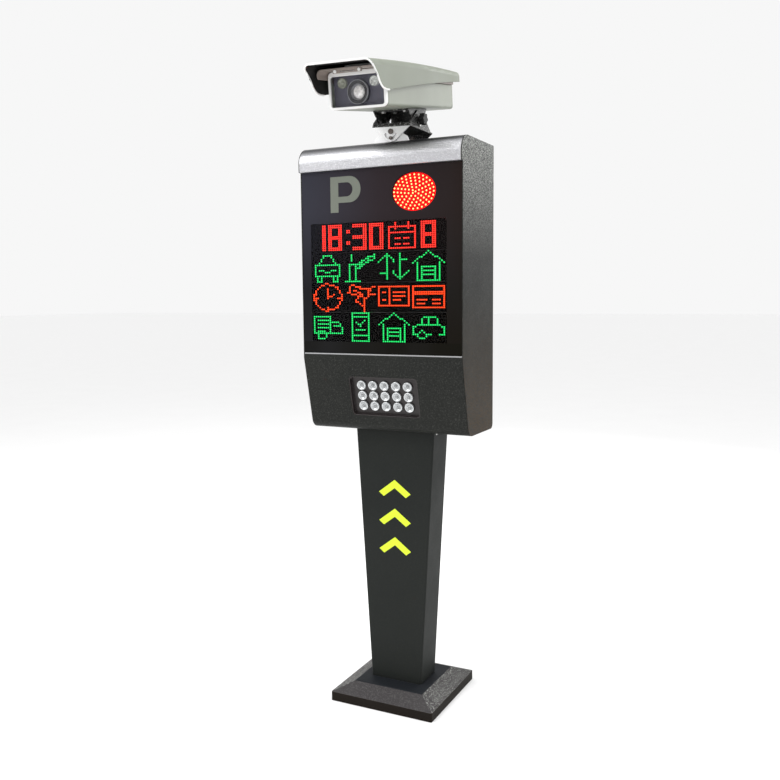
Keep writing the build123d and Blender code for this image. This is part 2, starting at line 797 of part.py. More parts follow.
def arc_slot(radius, half_angle, half_width, downward):
    # a slot along an arc about the origin, centred straight below or above it
    middle = -90 if downward else 90
    outer = CenterArc((0, 0), radius + half_width, middle - half_angle, 2 * half_angle)
    inner = CenterArc((0, 0), radius - half_width, middle - half_angle, 2 * half_angle)
    sides = [Line(outer @ 0, inner @ 0), Line(outer @ 1, inner @ 1)]
    face = make_face([outer, inner] + sides)
    for end in (outer @ 0 + inner @ 0, outer @ 1 + inner @ 1):
        face = face + Pos(end.X / 2, end.Y / 2) * Circle(half_width)
    return face


def upright_plane(y):
    return Plane(origin=(head_x, y, roll_z), x_dir=(1, 0, 0), z_dir=(0, -1, 0))


def bracket_base():
    half = bracket_width / 2 - 3
    low, high = head_y - bracket_length / 2, head_y + base_rear
    base = block((head_x - half, head_x + half), (low, high), (cabinet_top, cabinet_top + bracket_sheet))
    ear = ear_face(half, -roll_rise, neck_radius, (half - 6, -link_floor - 1))
    ear = ear - Circle(pivot_radius + running)
    ear = ear - Pos(0, -roll_slot_radius) * Circle(lock_bolt_radius + running)
    for y in (low + bracket_sheet, high):
        base = base + extrude(upright_plane(y) * ear, bracket_sheet)
    for x, y in bracket_bolt_points():
        base = base - Pos(x, y, cabinet_top) * Cylinder(3.2, 20)
    return base


def bracket_base_bolts():
    bolts = []
    for x, y in bracket_bolt_points():
        top = cabinet_top + bracket_sheet
        bolts.append(hex_rod((x, y, top), (0, 0, 1), 10, 4)
                     + rod((x, y, cabinet_top - 8), (0, 0, 1), 3, 12))
    return bolts


def rolled(shape):
    return Pos(head_x, head_y, roll_z) * Rot(0, roll_rest, 0) * shape


link_floor = 12         # underside of the link's plate above the roll axis
link_gap = bracket_length / 2 + side_play
rear_gap = base_rear + side_play


def up_ear_face():
    # about the tilt axis: a rounded top, a short front shoulder and a long slope to the rear
    reach = link_gap + bracket_sheet
    floor = link_floor + 1 - (tilt_rise - roll_rise)
    front, rear = (-reach + 4, -link_floor), (reach, floor + 17)
    touches = []
    for side, (x, y) in ((-1, front), (1, rear)):
        angle = math.atan2(y, abs(x)) + math.acos(tilt_ear_radius / math.hypot(x, y))
        touches.append((side * tilt_ear_radius * math.cos(angle), tilt_ear_radius * math.sin(angle)))
    points = [touches[0], front, (-reach, floor), (rear_gap - 6, floor), rear, touches[1]]
    outline = [Line(points[i], points[i + 1]) for i in range(5)]
    outline.append(ThreePointArc(touches[1], (0, tilt_ear_radius), touches[0]))
    return make_face(outline)


def bracket_link():
    # built about the roll axis: ears down at the front and rear, ears up at the sides
    half = bracket_width / 2
    reach, rear = link_gap + bracket_sheet, rear_gap + bracket_sheet
    plate = block((-half, half), (-reach, rear), (link_floor, link_floor + bracket_sheet))
    down_ear = ear_face(half, link_floor + 1, roll_ear_radius, (half, link_floor))
    down_ear = down_ear - Circle(pivot_radius + running)
    down_ear = down_ear - arc_slot(roll_slot_radius, roll_slot_half, lock_bolt_radius + 0.2, True)
    for y in (-link_gap, rear):
        plane = Plane(origin=(0, y, 0), x_dir=(1, 0, 0), z_dir=(0, -1, 0))
        plate = plate + extrude(plane * down_ear, bracket_sheet)
    tilt_up = tilt_rise - roll_rise
    up_ear = up_ear_face() - Circle(pivot_radius + running)
    up_ear = up_ear - arc_slot(tilt_slot_radius, tilt_slot_half, lock_bolt_radius + 0.2, True)
    for x in (-half, half - bracket_sheet):
        plane = Plane(origin=(x, 0, tilt_up), x_dir=(0, 1, 0), z_dir=(1, 0, 0))
        plate = plate + extrude(plane * up_ear, bracket_sheet)
    rear_web = block((-half + 1, half - 1), (link_gap, reach), (link_floor + 1, tilt_up - 3.5))
    inside = top_half - bracket_sheet - 1
    front_rib = block((-inside, inside), (-38, -38 + bracket_sheet), (link_floor + 1, tilt_up - 11.5))
    return rolled(plate + rear_web + front_rib)


def roll_bolts():
    # pivot and lock bolts of the roll joint, fixed in the base's ears
    pivots, locks = [], []
    for side, ear in ((-1, bracket_length / 2), (1, base_rear)):
        outer = side * (ear + side_play + bracket_sheet + side_play)
        inner = side * (ear - bracket_sheet)
        for store, drop, radius, flats in ((pivots, 0, pivot_radius, 13),
                                           (locks, roll_slot_radius, lock_bolt_radius, 8)):
            centre = (head_x, head_y + outer, roll_z - drop)
            if store is pivots:
                head = rod(centre, (0, side, 0), 6.5, 3)
            else:
                head = hex_rod(centre, (0, side, 0), flats, 3.5)
            shank = rod(centre, (0, -side, 0), radius, abs(outer - inner) + 5)
            nut = hex_rod((head_x, head_y + inner - side * 0.1, roll_z - drop), (0, -side, 0), flats - 0.5, 4)
            store.append(head + shank + nut)
    return pivots, locks


def head_place():
    rise = tilt_rise - roll_rise
    return Pos(head_x, head_y, roll_z) * Rot(0, roll_rest, 0) * Pos(0, 0, rise) * Rot(tilt_rest, 0, 0)


def headed(shape):
    return head_place() * shape


web_back = bracket_length / 2 - 3


def bracket_top():
    # built about the tilt axis: a plate under the housing with two ears and a rear web down
    reach = bracket_length / 2 + 4
    plate = block((-top_half, top_half), (-reach, reach), (housing_rise - bracket_sheet, housing_rise))
    ear = ear_face(reach, housing_rise - 1, 18, (reach - 8, 14)) - Circle(pivot_radius + running)
    ear = ear - Pos(0, -tilt_slot_radius) * Circle(lock_bolt_radius + running)
    for x in (-top_half, top_half - bracket_sheet):
        plane = Plane(origin=(x, 0, 0), x_dir=(0, 1, 0), z_dir=(1, 0, 0))
        plate = plate + extrude(plane * ear, bracket_sheet)
    web = block((-top_half, top_half), (web_back - bracket_sheet, web_back), (-3, housing_rise - 1))
    plate = plate + web
    for x, y in housing_bolt_points():
        plate = plate - Pos(x, y, housing_rise) * Cylinder(3.2, 20)
    return headed(plate)


def housing_bolt_points():
    return [(x * 30, y * 33) for x in (-1, 1) for y in (-1, 1)]


def housing_bolts():
    bolts = []
    for x, y in housing_bolt_points():
        low = housing_rise - bracket_sheet
        bolts.append(headed(hex_rod((x, y, low - 4), (0, 0, 1), 10, 4)
                            + rod((x, y, low - 1), (0, 0, 1), 3, bracket_sheet + housing_wall + 3)))
    return bolts


def lobed_knob():
    knob = Circle(knob_radius - 3)
    for i in range(6):
        angle = 2 * math.pi * i / 6
        knob = knob + Pos((knob_radius - 4) * math.cos(angle), (knob_radius - 4) * math.sin(angle)) * Circle(4)
    return knob


def tilt_pivot():
    # knob, bolt and nut of the tilt joint, fixed in the link's ears
    rise = tilt_rise - roll_rise
    outer = bracket_width / 2 + 0.1
    pieces = []
    washer = 5
    plane = Plane(origin=(outer + washer, 0, rise), x_dir=(0, 1, 0), z_dir=(1, 0, 0))
    knob = extrude(plane * lobed_knob(), knob_height)
    knob = fillet(knob.edges().group_by(Axis.X)[-1], 1.5) + rod((outer, 0, rise), (1, 0, 0), 7, washer + 1)
    shank = rod((outer + 1, 0, rise), (-1, 0, 0), pivot_radius, bracket_sheet * 2 + 8)
    collar = hex_rod((top_half - bracket_sheet - 0.2, 0, rise), (-1, 0, 0), 13, 4)
    pieces.append(rolled(knob + shank + collar))
    far_head = rod((-outer, 0, rise), (-1, 0, 0), 8, 4)
    far_shank = rod((-outer - 1, 0, rise), (1, 0, 0), pivot_radius, bracket_sheet * 2 + 8)
    far_collar = hex_rod((-top_half + bracket_sheet + 0.2, 0, rise), (1, 0, 0), 13, 4)
    pieces.append(rolled(far_head + far_shank + far_collar))
    return pieces


def tilt_locks():
    # lock bolts of the tilt joint, fixed in the upper channel's ears
    locks = []
    for side in (-1, 1):
        outer = side * (bracket_width / 2 + 0.3)
        head = hex_rod((outer, 0, -tilt_slot_radius), (side, 0, 0), 8, 3)
        shank = rod((outer, 0, -tilt_slot_radius), (-side, 0, 0), lock_bolt_radius, bracket_sheet * 2 + 5)
        locks.append(headed(head + shank))
    return locks


# ---- camera housing -------------------------------------------------------------------
# Built with y = 0 at the front frame's face and z = 0 at the underside.


def housed(shape):
    return headed(Pos(0, -housing_reach, housing_rise) * shape)


def housing_section(width, low, high, radius, y_range):
    plane = Plane(origin=(0, y_range[0], (low + high) / 2), x_dir=(-1, 0, 0), z_dir=(0, 1, 0))
    return extrude(plane * RectangleRounded(width, high - low, radius), y_range[1] - y_range[0])


lid_split = housing_height - lid_drop


def camera_body():
    y_range = (frame_depth, housing_length - 8)
    body = housing_section(housing_width, 0, housing_height, housing_corner, y_range)
    body = body - housing_section(housing_width - 2 * housing_wall, housing_wall,
                                  housing_height - housing_wall, housing_corner - housing_wall,
                                  (y_range[0] - 1, y_range[1] + 1))
    body = body - block((-200, 200), (lid_front - seam, 500), (lid_split, 200))
    for x, y in housing_bolt_points():
        body = body - Pos(x, y + housing_reach, 0) * Cylinder(3.2, 20)
    return housed(body)


def camera_lid():
    # the upper half shell, a little wider than the lower one; it reaches ahead of the front
    # frame as a visor, with a slotted plate and two screw holes under its front edge
    y_range = (-visor_reach, housing_length - 8)
    low, high = lid_split + seam, housing_height + 4
    lid = housing_section(lid_width, low - 20, high, lid_corner, y_range)
    lid = lid - housing_section(lid_width - 2 * housing_wall, low - 30, high - housing_wall,
                                lid_corner - housing_wall, (y_range[0] - 1, y_range[1] - housing_wall))
    lid = lid - block((-200, 200), (-200, 500), (low - 40, low))
    lid = lid - block((-200, 200), (-visor_reach - 1, lid_front), (low - 1, visor_low))
    corner = lid.edges().filter_by(Axis.X).filter_by_position(Axis.Z, visor_low - 0.1, visor_low + 0.1)
    lid = fillet(corner.filter_by_position(Axis.Y, -visor_reach - 0.1, -visor_reach + 0.1), 8)
    plate = block((-visor_plate_half, visor_plate_half), (-visor_reach, -visor_reach + 2),
                  (visor_plate_low, high - housing_wall + 0.5))
    middle = (visor_plate_low + high - housing_wall) / 2
    plate = plate - block((-18, 18), (-visor_reach - 1, 0), (middle - 1.8, middle + 1.8))
    for x in visor_screw_places():
        plate = plate - rod((x, -visor_reach - 1, middle), (0, 1, 0), 2, 5)
    return housed(lid + plate)


visor_plate_half, visor_plate_low = 37, 76.5


def visor_screw_places():
    return (-31, 31)


def camera_rear_cap():
    y_range = (housing_length - 8 + seam, housing_length)
    cap = housing_section(housing_width, 0, housing_height, housing_corner, y_range)
    cap = fillet(cap.edges().group_by(Axis.Y)[-1], 3)
    tenon = housing_section(housing_width - 2 * housing_wall - 1, housing_wall + 0.5,
                            lid_split - 1, 4, (housing_length - 16, housing_length - 7))
    start = (rear_gland_x, housing_length - 30, rear_gland_z)
    return housed(cap + tenon - rod(start, (0, 1, 0), 8.2, 60))


rear_gland_x, rear_gland_z = -30, 28


def camera_rear_gland():
    x, y, z = rear_gland_x, housing_length, rear_gland_z
    gland = rod((x, y - 14, z), (0, 1, 0), 8, 16) + hex_rod((x, y, z), (0, 1, 0), 22, 6)
    cap = rod((x, y + 5.5, z), (0, 1, 0), 10, 13)
    cap = fillet(cap.edges().group_by(Axis.Y)[-1], 3)
    return housed(gland + cap - rod((x, y - 30, z), (0, 1, 0), 4, 80))


def front_opening(side, low, high, radius, y_range):
    # a window-shaped block held back from the housing's outline by a margin on each side
    return housing_section(housing_width - 2 * side, low, housing_height - high, radius, y_range)


def camera_front_frame():
    ring = front_opening(0, 0, 0, frame_corner, (0, frame_depth - seam))
    opening = front_opening(frame_band, frame_band, frame_top_band, 5, (-1, frame_depth + 1))
    rebate = front_opening(frame_band / 2, frame_band / 2, frame_band / 2, 7, (5, frame_depth + 1))
    ring = ring - opening - rebate
    return housed(fillet(ring.edges().group_by(Axis.Y)[0], 1.2))


window_front, window_thick = 5 + seat, 3


def camera_window():
    margin = frame_band / 2 + seat
    return housed(front_opening(margin, margin, margin, 7, (window_front, window_front + window_thick)))


barrel_front = window_front + window_thick + 1
front_plate_y = window_front + window_thick + 14


def camera_front_plate():
    # the shroud behind the window, with holes for the lens and lamps
    inner = housing_width - 2 * housing_wall - 2 * seat
    y_range = (front_plate_y, front_plate_y + 2)
    plate = housing_section(inner, housing_wall + seat, lid_split - seat, 6, y_range)
    plate = plate + housing_section(inner, lid_split - 20, housing_height - housing_wall - seat, 6, y_range)
    plate = plate - rod((lens_centre[0], 0, lens_centre[1]), (0, 1, 0), barrel_radius - 6 + seat, 60)
    for x, z in ir_centres:
        plate = plate - rod((x, 0, z), (0, 1, 0), ir_radius - 2 + seat, 60)
    return housed(plate)


def lens_barrel():
    # a rimmed drum ahead of the shroud and a narrower tube through it
    x, z = lens_centre
    reach = front_plate_y - seat - barrel_front
    outer, inner = barrel_radius - 6, barrel_radius - 12
    outline = Polyline((inner + 3, 1.6), (barrel_radius - barrel_rim, 0), (barrel_radius, 0),
                       (barrel_radius, reach), (outer, reach), (outer, barrel_length), (inner, barrel_length),
                       (inner, 7.6), close=True)
    barrel = revolve(Plane.XY * make_face(outline), Axis.Y)
    return housed(Pos(x, barrel_front, z) * barrel)


def lens_glass():
    x, z = lens_centre
    disc = rod((x, barrel_front + 7.8, z), (0, 1, 0), barrel_radius - 12 - seat, 5)
    cap = Pos(x, barrel_front + 20.5, z) * Sphere(20) & rod((x, barrel_front - 1, z), (0, 1, 0), 14, 9)
    return housed(disc + cap)


def ir_lamps():
    lamps = []
    for x, z in ir_centres:
        y = front_plate_y - ir_reach
        drum = rod((x, y, z), (0, 1, 0), ir_radius, ir_reach - seat)
        stem = rod((x, y + 1, z), (0, 1, 0), ir_radius - 2, ir_reach + 8)
        lamp = drum + stem - Pos(x, y - 6, z) * Sphere(11)
        dome = Pos(x, y + 4.4, z) * Sphere(2.8)
        lamps.append(housed(lamp + dome))
    return lamps


def camera_module():
    x, z = lens_centre
    y = barrel_front + barrel_length + seat
    case = block((x - 32, x + 32), (y, y + 70), (z - 27, z + 18))
    foot = block((x - 26, x + 26), (y + 5, y + 65), (housing_wall, z - 25))
    edge = housing_width / 2 - housing_wall - 11
    board = block((-edge, edge), (y + 100, y + 190), (18, 20))
    posts = [rod((px, y + py, housing_wall), (0, 0, 1), 3, 15.5)
             for px in (-edge + 6, edge - 6) for py in (106, 184)]
    chips = [block((-30, 10), (y + 120, y + 160), (19, 26)), block((25, 50), (y + 110, y + 140), (19, 34))]
    return [housed(case + foot), housed(joined([board] + posts + chips))]


def hood_side_face(drop):
    # side outline in (y, z): crowned top, swept front edge and a lower edge that rises to the rear
    top = ThreePointArc((-hood_front, hood_top_front - drop), (150, hood_top_mid - drop),
                        (hood_back, hood_top_back - drop))
    rear = Line(top @ 1, (hood_back, 68))
    lower = ThreePointArc((hood_back, 68), (170, 52), (-4, 35))
    sweep = ThreePointArc(lower @ 1, (-34, 38.5), (-50, 51))
    front = Line(sweep @ 1, top @ 0)
    return make_face([top, rear, lower, sweep, front])


def hood_block(half, drop):
    plane = Plane(origin=(0, 0, 0), x_dir=(0, 1, 0), z_dir=(1, 0, 0))
    return extrude(plane * hood_side_face(drop), half, both=True)


def hood_arch(half, drop, radius):
    # the hood's cross-section, swept along its crowned top line
    top = ThreePointArc((0, -hood_front - 5, hood_top_front - drop), (0, 150, hood_top_mid - drop),
                        (0, hood_back + 5, hood_top_back - drop))
    start = Plane(origin=top @ 0, x_dir=(1, 0, 0), z_dir=top % 0)
    section = Pos(0, 60) * RectangleRounded(2 * half, 120, radius)
    if (start.from_local_coords((0, 60, 0))).Z > hood_top_front:
        section = Pos(0, -60) * RectangleRounded(2 * half, 120, radius)
    return sweep(start * section, top)


def sun_hood():
    half = hood_width / 2
    solid = hood_arch(half, 0, hood_corner)
    hollow = hood_arch(half - hood_sheet, hood_sheet, hood_corner - hood_sheet)
    keep = hood_block(half + 1, -3)
    return housed((solid - hollow) & keep)


rail_half = 31


def hood_rails():
    # two cross pieces between the housing's lid and the hood, each with two slotted ends
    rails = []
    for y in (lid_front + 2, housing_length - 60):
        low = housing_height + 4 + seat
        crown = hood_under(y) - seat
        rail = block((-rail_half, rail_half), (y, y + 18), (low, crown))
        rail = rail - block((-rail_half + 8, rail_half - 8), (y - 1, y + 19), (low + 3, crown - 2.5))
        rails.append(housed(rail))
    return rails


def hood_under(y):
    # underside of the hood's crown, near enough for a short flat piece
    middle = (hood_back - hood_front) / 2
    span = (hood_back + hood_front) / 2
    ends = (hood_top_front + hood_top_back) / 2
    lean = (hood_top_back - hood_top_front) / (2 * span)
    bow = (hood_top_mid - ends) * (1 - ((y - middle) / span) ** 2)
    return ends + bow + lean * (y - middle) - hood_sheet - 0.6


def hood_screws():
    screws = []
    for x in (-rail_half - 6, rail_half + 6):
        y = lid_front + 10
        low = housing_height + 4
        screws.append(housed(rod((x, y, low + seat), (0, 0, 1), 4.5, hood_under(y) - low - 2 * seat)))
    middle = (visor_plate_low + housing_height + 4 - housing_wall) / 2
    for x in visor_screw_places():
        head = rod((x, -visor_reach - 2.4, middle), (0, 1, 0), 3.6, 2.4)
        screws.append(housed(head + rod((x, -visor_reach - 1, middle), (0, 1, 0), 2 - running, 6)))
    return screws


# ---- write every piece ----------------------------------------------------------------

front_cover, rear_cover = base_covers()
head_bolts, head_nuts = head_fasteners()
card, card_straps = display_card()
frame_leaves, door_leaves, hinge_pins = hinge_sets()
roll_pivots, roll_locks = roll_bolts()

write("base_plate", base_plate())
write("cover_tabs", cover_tabs())
write("base_cover_front", front_cover)
write("base_cover_rear", rear_cover)
write("post", post())
write("post_head_plate", post_head_plate())
write("post_screws", post_screws())
write("chevron_decals", chevrons())
write("floor_plate", floor_plate())
write("post_bolts", head_bolts + head_nuts)
write("cabinet_body", cabinet_body())
write("top_cover", top_cover())
write("lower_front_panel", lower_front_panel())
write("display_window", display_window())
write("window_gasket", window_gasket())
write("parking_symbol", parking_symbol())
write("led_modules", [led_module(row) for row in range(module_count)])
write("display_rails", display_rails() + card_straps)
write("display_card", card)
write("signal_board", signal_board())
write("signal_leds", signal_leds())
write("fill_light_tray", fill_tray())
write("fill_light_lenses", fill_lenses())
write("fill_light_board", fill_board())
write("fill_light_heatsink", fill_heatsink())
write("gear_plate", gear_plate())
write("power_supply", power_supply())
write("controller_board", controller_board())
write("din_rail", din_rail())
write("circuit_breaker", circuit_breaker())
write("terminal_block", terminal_block())
write("loudspeaker", loudspeaker())
write("cabinet_gland", cabinet_gland())
write("rear_door", rear_door())
write("door_gasket", door_gasket())
write("hinge_frame_leaves", frame_leaves + hinge_pins)
write("hinge_door_leaves", door_leaves)
write("lock_barrel", lock_barrel())
write("lock_cam", lock_cam())
write("bracket_base", bracket_base())
write("bracket_base_bolts", bracket_base_bolts())
write("roll_bolts", roll_pivots + roll_locks)
write("bracket_link", bracket_link())
write("tilt_knob_and_pivots", tilt_pivot())
write("bracket_top", bracket_top())
write("tilt_lock_bolts", tilt_locks())
write("housing_bolts", housing_bolts())
write("camera_body", camera_body())
write("camera_lid", camera_lid())
write("camera_rear_cap", camera_rear_cap())
write("camera_rear_gland", camera_rear_gland())
write("camera_front_frame", camera_front_frame())
write("camera_window", camera_window())
write("camera_front_plate", camera_front_plate())
write("lens_barrel", lens_barrel())
write("lens_glass", lens_glass())
write("ir_lamps", ir_lamps())
write("camera_module", camera_module())
write("sun_hood", sun_hood())
write("hood_rails", hood_rails() + hood_screws())
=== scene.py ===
import bpy
import bmesh
import json
import math
from mathutils import Matrix, Vector


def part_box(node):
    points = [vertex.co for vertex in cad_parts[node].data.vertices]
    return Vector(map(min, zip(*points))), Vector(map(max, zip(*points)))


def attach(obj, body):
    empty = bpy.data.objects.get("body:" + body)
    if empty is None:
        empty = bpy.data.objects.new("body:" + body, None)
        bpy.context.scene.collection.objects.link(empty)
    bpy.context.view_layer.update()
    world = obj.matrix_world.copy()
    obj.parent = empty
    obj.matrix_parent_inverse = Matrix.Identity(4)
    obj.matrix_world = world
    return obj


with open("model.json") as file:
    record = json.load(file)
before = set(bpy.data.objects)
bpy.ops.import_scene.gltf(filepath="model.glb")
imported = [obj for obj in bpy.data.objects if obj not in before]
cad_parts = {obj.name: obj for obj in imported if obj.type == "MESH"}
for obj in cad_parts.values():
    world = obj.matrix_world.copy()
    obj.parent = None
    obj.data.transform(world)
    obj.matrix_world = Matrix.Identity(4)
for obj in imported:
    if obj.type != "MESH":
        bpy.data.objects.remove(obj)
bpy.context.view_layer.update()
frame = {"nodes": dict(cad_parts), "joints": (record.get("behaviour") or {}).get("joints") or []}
nodes = frame["nodes"]
print("frame loaded:", len(nodes), "nodes")

# the housing's own frame: its front face at y = 0, its floor at z = 0
headFrame = {"reach": 0.224, "rise": 0.026,
             "tiltDown": math.radians(9.4), "roll": math.radians(1.8)}
tiltJoint = next(j for j in frame["joints"] if j["name"] == "head_tilt")
housingMatrix = (Matrix.Translation(Vector(tiltJoint["pos_m"]))
                 @ Matrix.Rotation(headFrame["roll"], 4, "Y")
                 @ Matrix.Rotation(headFrame["tiltDown"], 4, "X")
                 @ Matrix.Translation((0, -headFrame["reach"], headFrame["rise"])))


# shader helpers

class Signal:
    # an output socket that can be used in sums and products
    def __init__(self, finish, socket):
        self.finish = finish
        self.socket = socket

    def calc(self, operation, *values):
        sockets = dict(enumerate(values))
        return self.finish.node("ShaderNodeMath", {"operation": operation}, sockets)

    def __add__(self, other):
        return self.calc("ADD", self, other)

    def __sub__(self, other):
        return self.calc("SUBTRACT", self, other)

    def __mul__(self, other):
        return self.calc("MULTIPLY", self, other)

    def __rsub__(self, other):
        return self.calc("SUBTRACT", other, self)

    def __pow__(self, other):
        return self.calc("POWER", self, other)

    def __lt__(self, other):
        return self.calc("LESS_THAN", self, other)

    def __gt__(self, other):
        return self.calc("GREATER_THAN", self, other)

    def __abs__(self):
        return self.calc("ABSOLUTE", self)

    __radd__ = __add__


class Finish:
    # one material; every node comes from the method node
    def __init__(self, name):
        self.material = bpy.data.materials.new(name)
        self.material.use_nodes = True
        self.tree = self.material.node_tree
        self.shader = self.tree.nodes["Principled BSDF"]
        self.place = self.node("ShaderNodeTexCoord", output="Object")

    def node(self, kind, settings=None, sockets=None, output=0):
        made = self.tree.nodes.new(kind)
        for key, value in (settings or {}).items():
            if key == "stops":
                self.fillRamp(made.color_ramp, value)
            else:
                setattr(made, key, value)
        for key, value in (sockets or {}).items():
            self.feed(made.inputs[key], value)
        return Signal(self, made.outputs[output])

    def feed(self, socket, value):
        if isinstance(value, Signal):
            self.tree.links.new(value.socket, socket)
        else:
            socket.default_value = value

    def fillRamp(self, ramp, stops):
        while len(ramp.elements) < len(stops):
            ramp.elements.new(1)
        for element, (position, level) in zip(ramp.elements, stops):
            element.position = position
            element.color = (level, level, level, 1)

    def set(self, **values):
        names = {"colour": "Base Color", "rough": "Roughness", "metal": "Metallic", "alpha": "Alpha",
                 "glow": "Emission Color", "glowStrength": "Emission Strength", "normal": "Normal",
                 "coat": "Coat Weight", "coatRough": "Coat Roughness", "shine": "Specular IOR Level"}
        for key, value in values.items():
            if key in ("colour", "glow") and not isinstance(value, Signal):
                value = (*value, 1)
            self.feed(self.shader.inputs[names[key]], value)

    def noise(self, scale, detail=2, rough=0.5):
        return self.node("ShaderNodeTexNoise", {}, {"Vector": self.place, "Scale": scale,
                                                    "Detail": detail, "Roughness": rough})

    def stretched(self, scale, stretch):
        place = self.node("ShaderNodeMapping", {}, {"Vector": self.place, "Scale": stretch})
        return self.node("ShaderNodeTexNoise", {}, {"Vector": place, "Scale": scale, "Detail": 3})

    def cells(self, scale):
        return self.node("ShaderNodeTexVoronoi", {}, {"Vector": self.place, "Scale": scale})

    def ramp(self, value, stops):
        return self.node("ShaderNodeValToRGB", {"stops": stops}, {"Fac": value})

    def blend(self, factor, first, second):
        colours = [c if isinstance(c, Signal) else (*c, 1) for c in (first, second)]
        return self.node("ShaderNodeMix", {"data_type": "RGBA"},
                         {0: factor, 6: colours[0], 7: colours[1]}, 2)

    def axis(self, letter):
        return self.node("ShaderNodeSeparateXYZ", {}, {0: self.place}, letter)

    def facing(self, letter):
        # how far the surface faces along an axis, from -1 to 1
        return self.node("ShaderNodeSeparateXYZ", {},
                         {0: self.node("ShaderNodeNewGeometry", output="Normal")}, letter)

    def rise(self, value, low, high):
        # 0 up to low and 1 from high on
        return self.ramp((value - low) * (1 / (high - low)), ((0.0, 0), (1.0, 1)))

    def softEdge(self, radius):
        # a normal that rounds sharp edges by this radius
        return self.node("ShaderNodeBevel", {"samples": 4}, {"Radius": radius})

    def edgeMask(self, rounded):
        # near 0 on flat faces, rising where the rounded normal turns away
        flat = self.node("ShaderNodeNewGeometry", output="Normal")
        same = self.node("ShaderNodeVectorMath", {"operation": "DOT_PRODUCT"},
                         {0: rounded, 1: flat}, "Value")
        return self.ramp(1 - same, ((0.01, 0), (0.16, 1)))

    def wornEdges(self, rounded, scale, stops):
        # the sharp edges, broken up into patches
        return self.edgeMask(rounded) * self.ramp(self.noise(scale, 4), stops)

    def bump(self, height, strength, depth, base=None):
        sockets = {"Height": height, "Strength": strength, "Distance": depth}
        if base is not None:
            sockets["Normal"] = base
        return self.node("ShaderNodeBump", {}, sockets)


# finishes

def paintedFlankLight(finish, tone, look):
    # the right flank: a painted highlight in pale speckle that thins out downwards, and painted
    # brownish warm light low down
    height = finish.axis("Z")
    flank = finish.facing("X") > look["turned"]
    flecks = finish.ramp(finish.noise(look["speckle"], 1, 0.4), look["speckleStops"])
    haze = finish.rise(height, look["from"], look["to"])
    dust = finish.ramp((look["dustFrom"] - height) * look["dustGrowth"], look["dustStops"])
    # painted highlight on the upper flank
    tone = finish.blend(flank * haze * flecks, tone, look["haze"])
    # painted brownish warm light low on the flank
    return finish.blend(flank * dust * flecks, tone, look["dust"])


coatPlan = {
    "cellShare": 0.8, "grainShare": 0.6, "broadStops": ((0.3, 0), (0.7, 1)), "fleckWidth": 0.12,
    "wearScale": 60, "wearStops": ((0.42, 0), (0.62, 1)), "wearShine": 0.08, "dustScale": 9,
    "dustStops": ((0.35, 0), (0.8, 1)), "coatRough": 0.22}


def coatedFinish(name, look):
    # powder coat or paint: two tones, fine grain, softened and slightly worn edges
    finish = Finish(name)
    broad = finish.noise(look["broad"], 3)
    grain = finish.noise(look["grain"], 2, 0.7)
    cells = finish.cells(look["grain"] * coatPlan["cellShare"])
    fleckFull = look["fleckFrom"] + coatPlan["fleckWidth"]
    fleck = finish.ramp(grain, ((look["fleckFrom"], 0), (fleckFull, 1)))
    base = finish.blend(finish.ramp(broad, coatPlan["broadStops"]), look["colour"], look["second"])
    tone = finish.blend(fleck * look["fleckShare"], base, look["fleck"])
    rounded = finish.softEdge(look["edge"])
    wear = finish.wornEdges(rounded, coatPlan["wearScale"], coatPlan["wearStops"])
    tone = finish.blend(wear * look["wear"], tone, look["worn"])
    dust = finish.ramp(finish.noise(coatPlan["dustScale"], 5, 0.65), coatPlan["dustStops"])
    # painted highlight and painted warm light on the right flank, for looks that have them
    if "side" in look:
        tone = paintedFlankLight(finish, tone, look["side"])
    # a painted band above a height and in front of a depth: painted shade along the brow's top, a
    # painted highlight on the lower panel's lip
    if "band" in look:
        low, high, ahead, colour = look["band"]
        share = finish.rise(finish.axis("Z"), low, high)
        tone = finish.blend(share * (finish.axis("Y") < ahead), tone, colour)
    relief = grain * coatPlan["grainShare"] + cells * (1 - coatPlan["grainShare"])
    finish.set(colour=tone, metal=look["metal"], shine=look["shine"],
               rough=look["rough"] + dust * look["roughSpread"] - wear * coatPlan["wearShine"],
               normal=finish.bump(relief, look["bump"], look["depth"], rounded),
               coat=look["coat"], coatRough=coatPlan["coatRough"])
    return finish.material


footLook = {
    "colour": (0.042, 0.038, 0.04), "second": (0.056, 0.052, 0.053), "fleck": (0.42, 0.43, 0.4),
    "flat": (0.012, 0.014, 0.017), "top": 0.0448, "dark": (0.009, 0.006, 0.004), "skirt": 0.0238,
    "worn": (0.1, 0.075, 0.06), "broad": 9, "grain": 330, "edge": 0.0018, "wear": 0.5,
    "turned": 0.2, "frontShare": 0.12, "sideShare": 0.75, "fleckStops": ((0.54, 0), (0.62, 1)),
    "rough": 0.5, "roughSpread": 0.2, "shine": 0.12, "bump": 0.6, "depth": 0.0012}


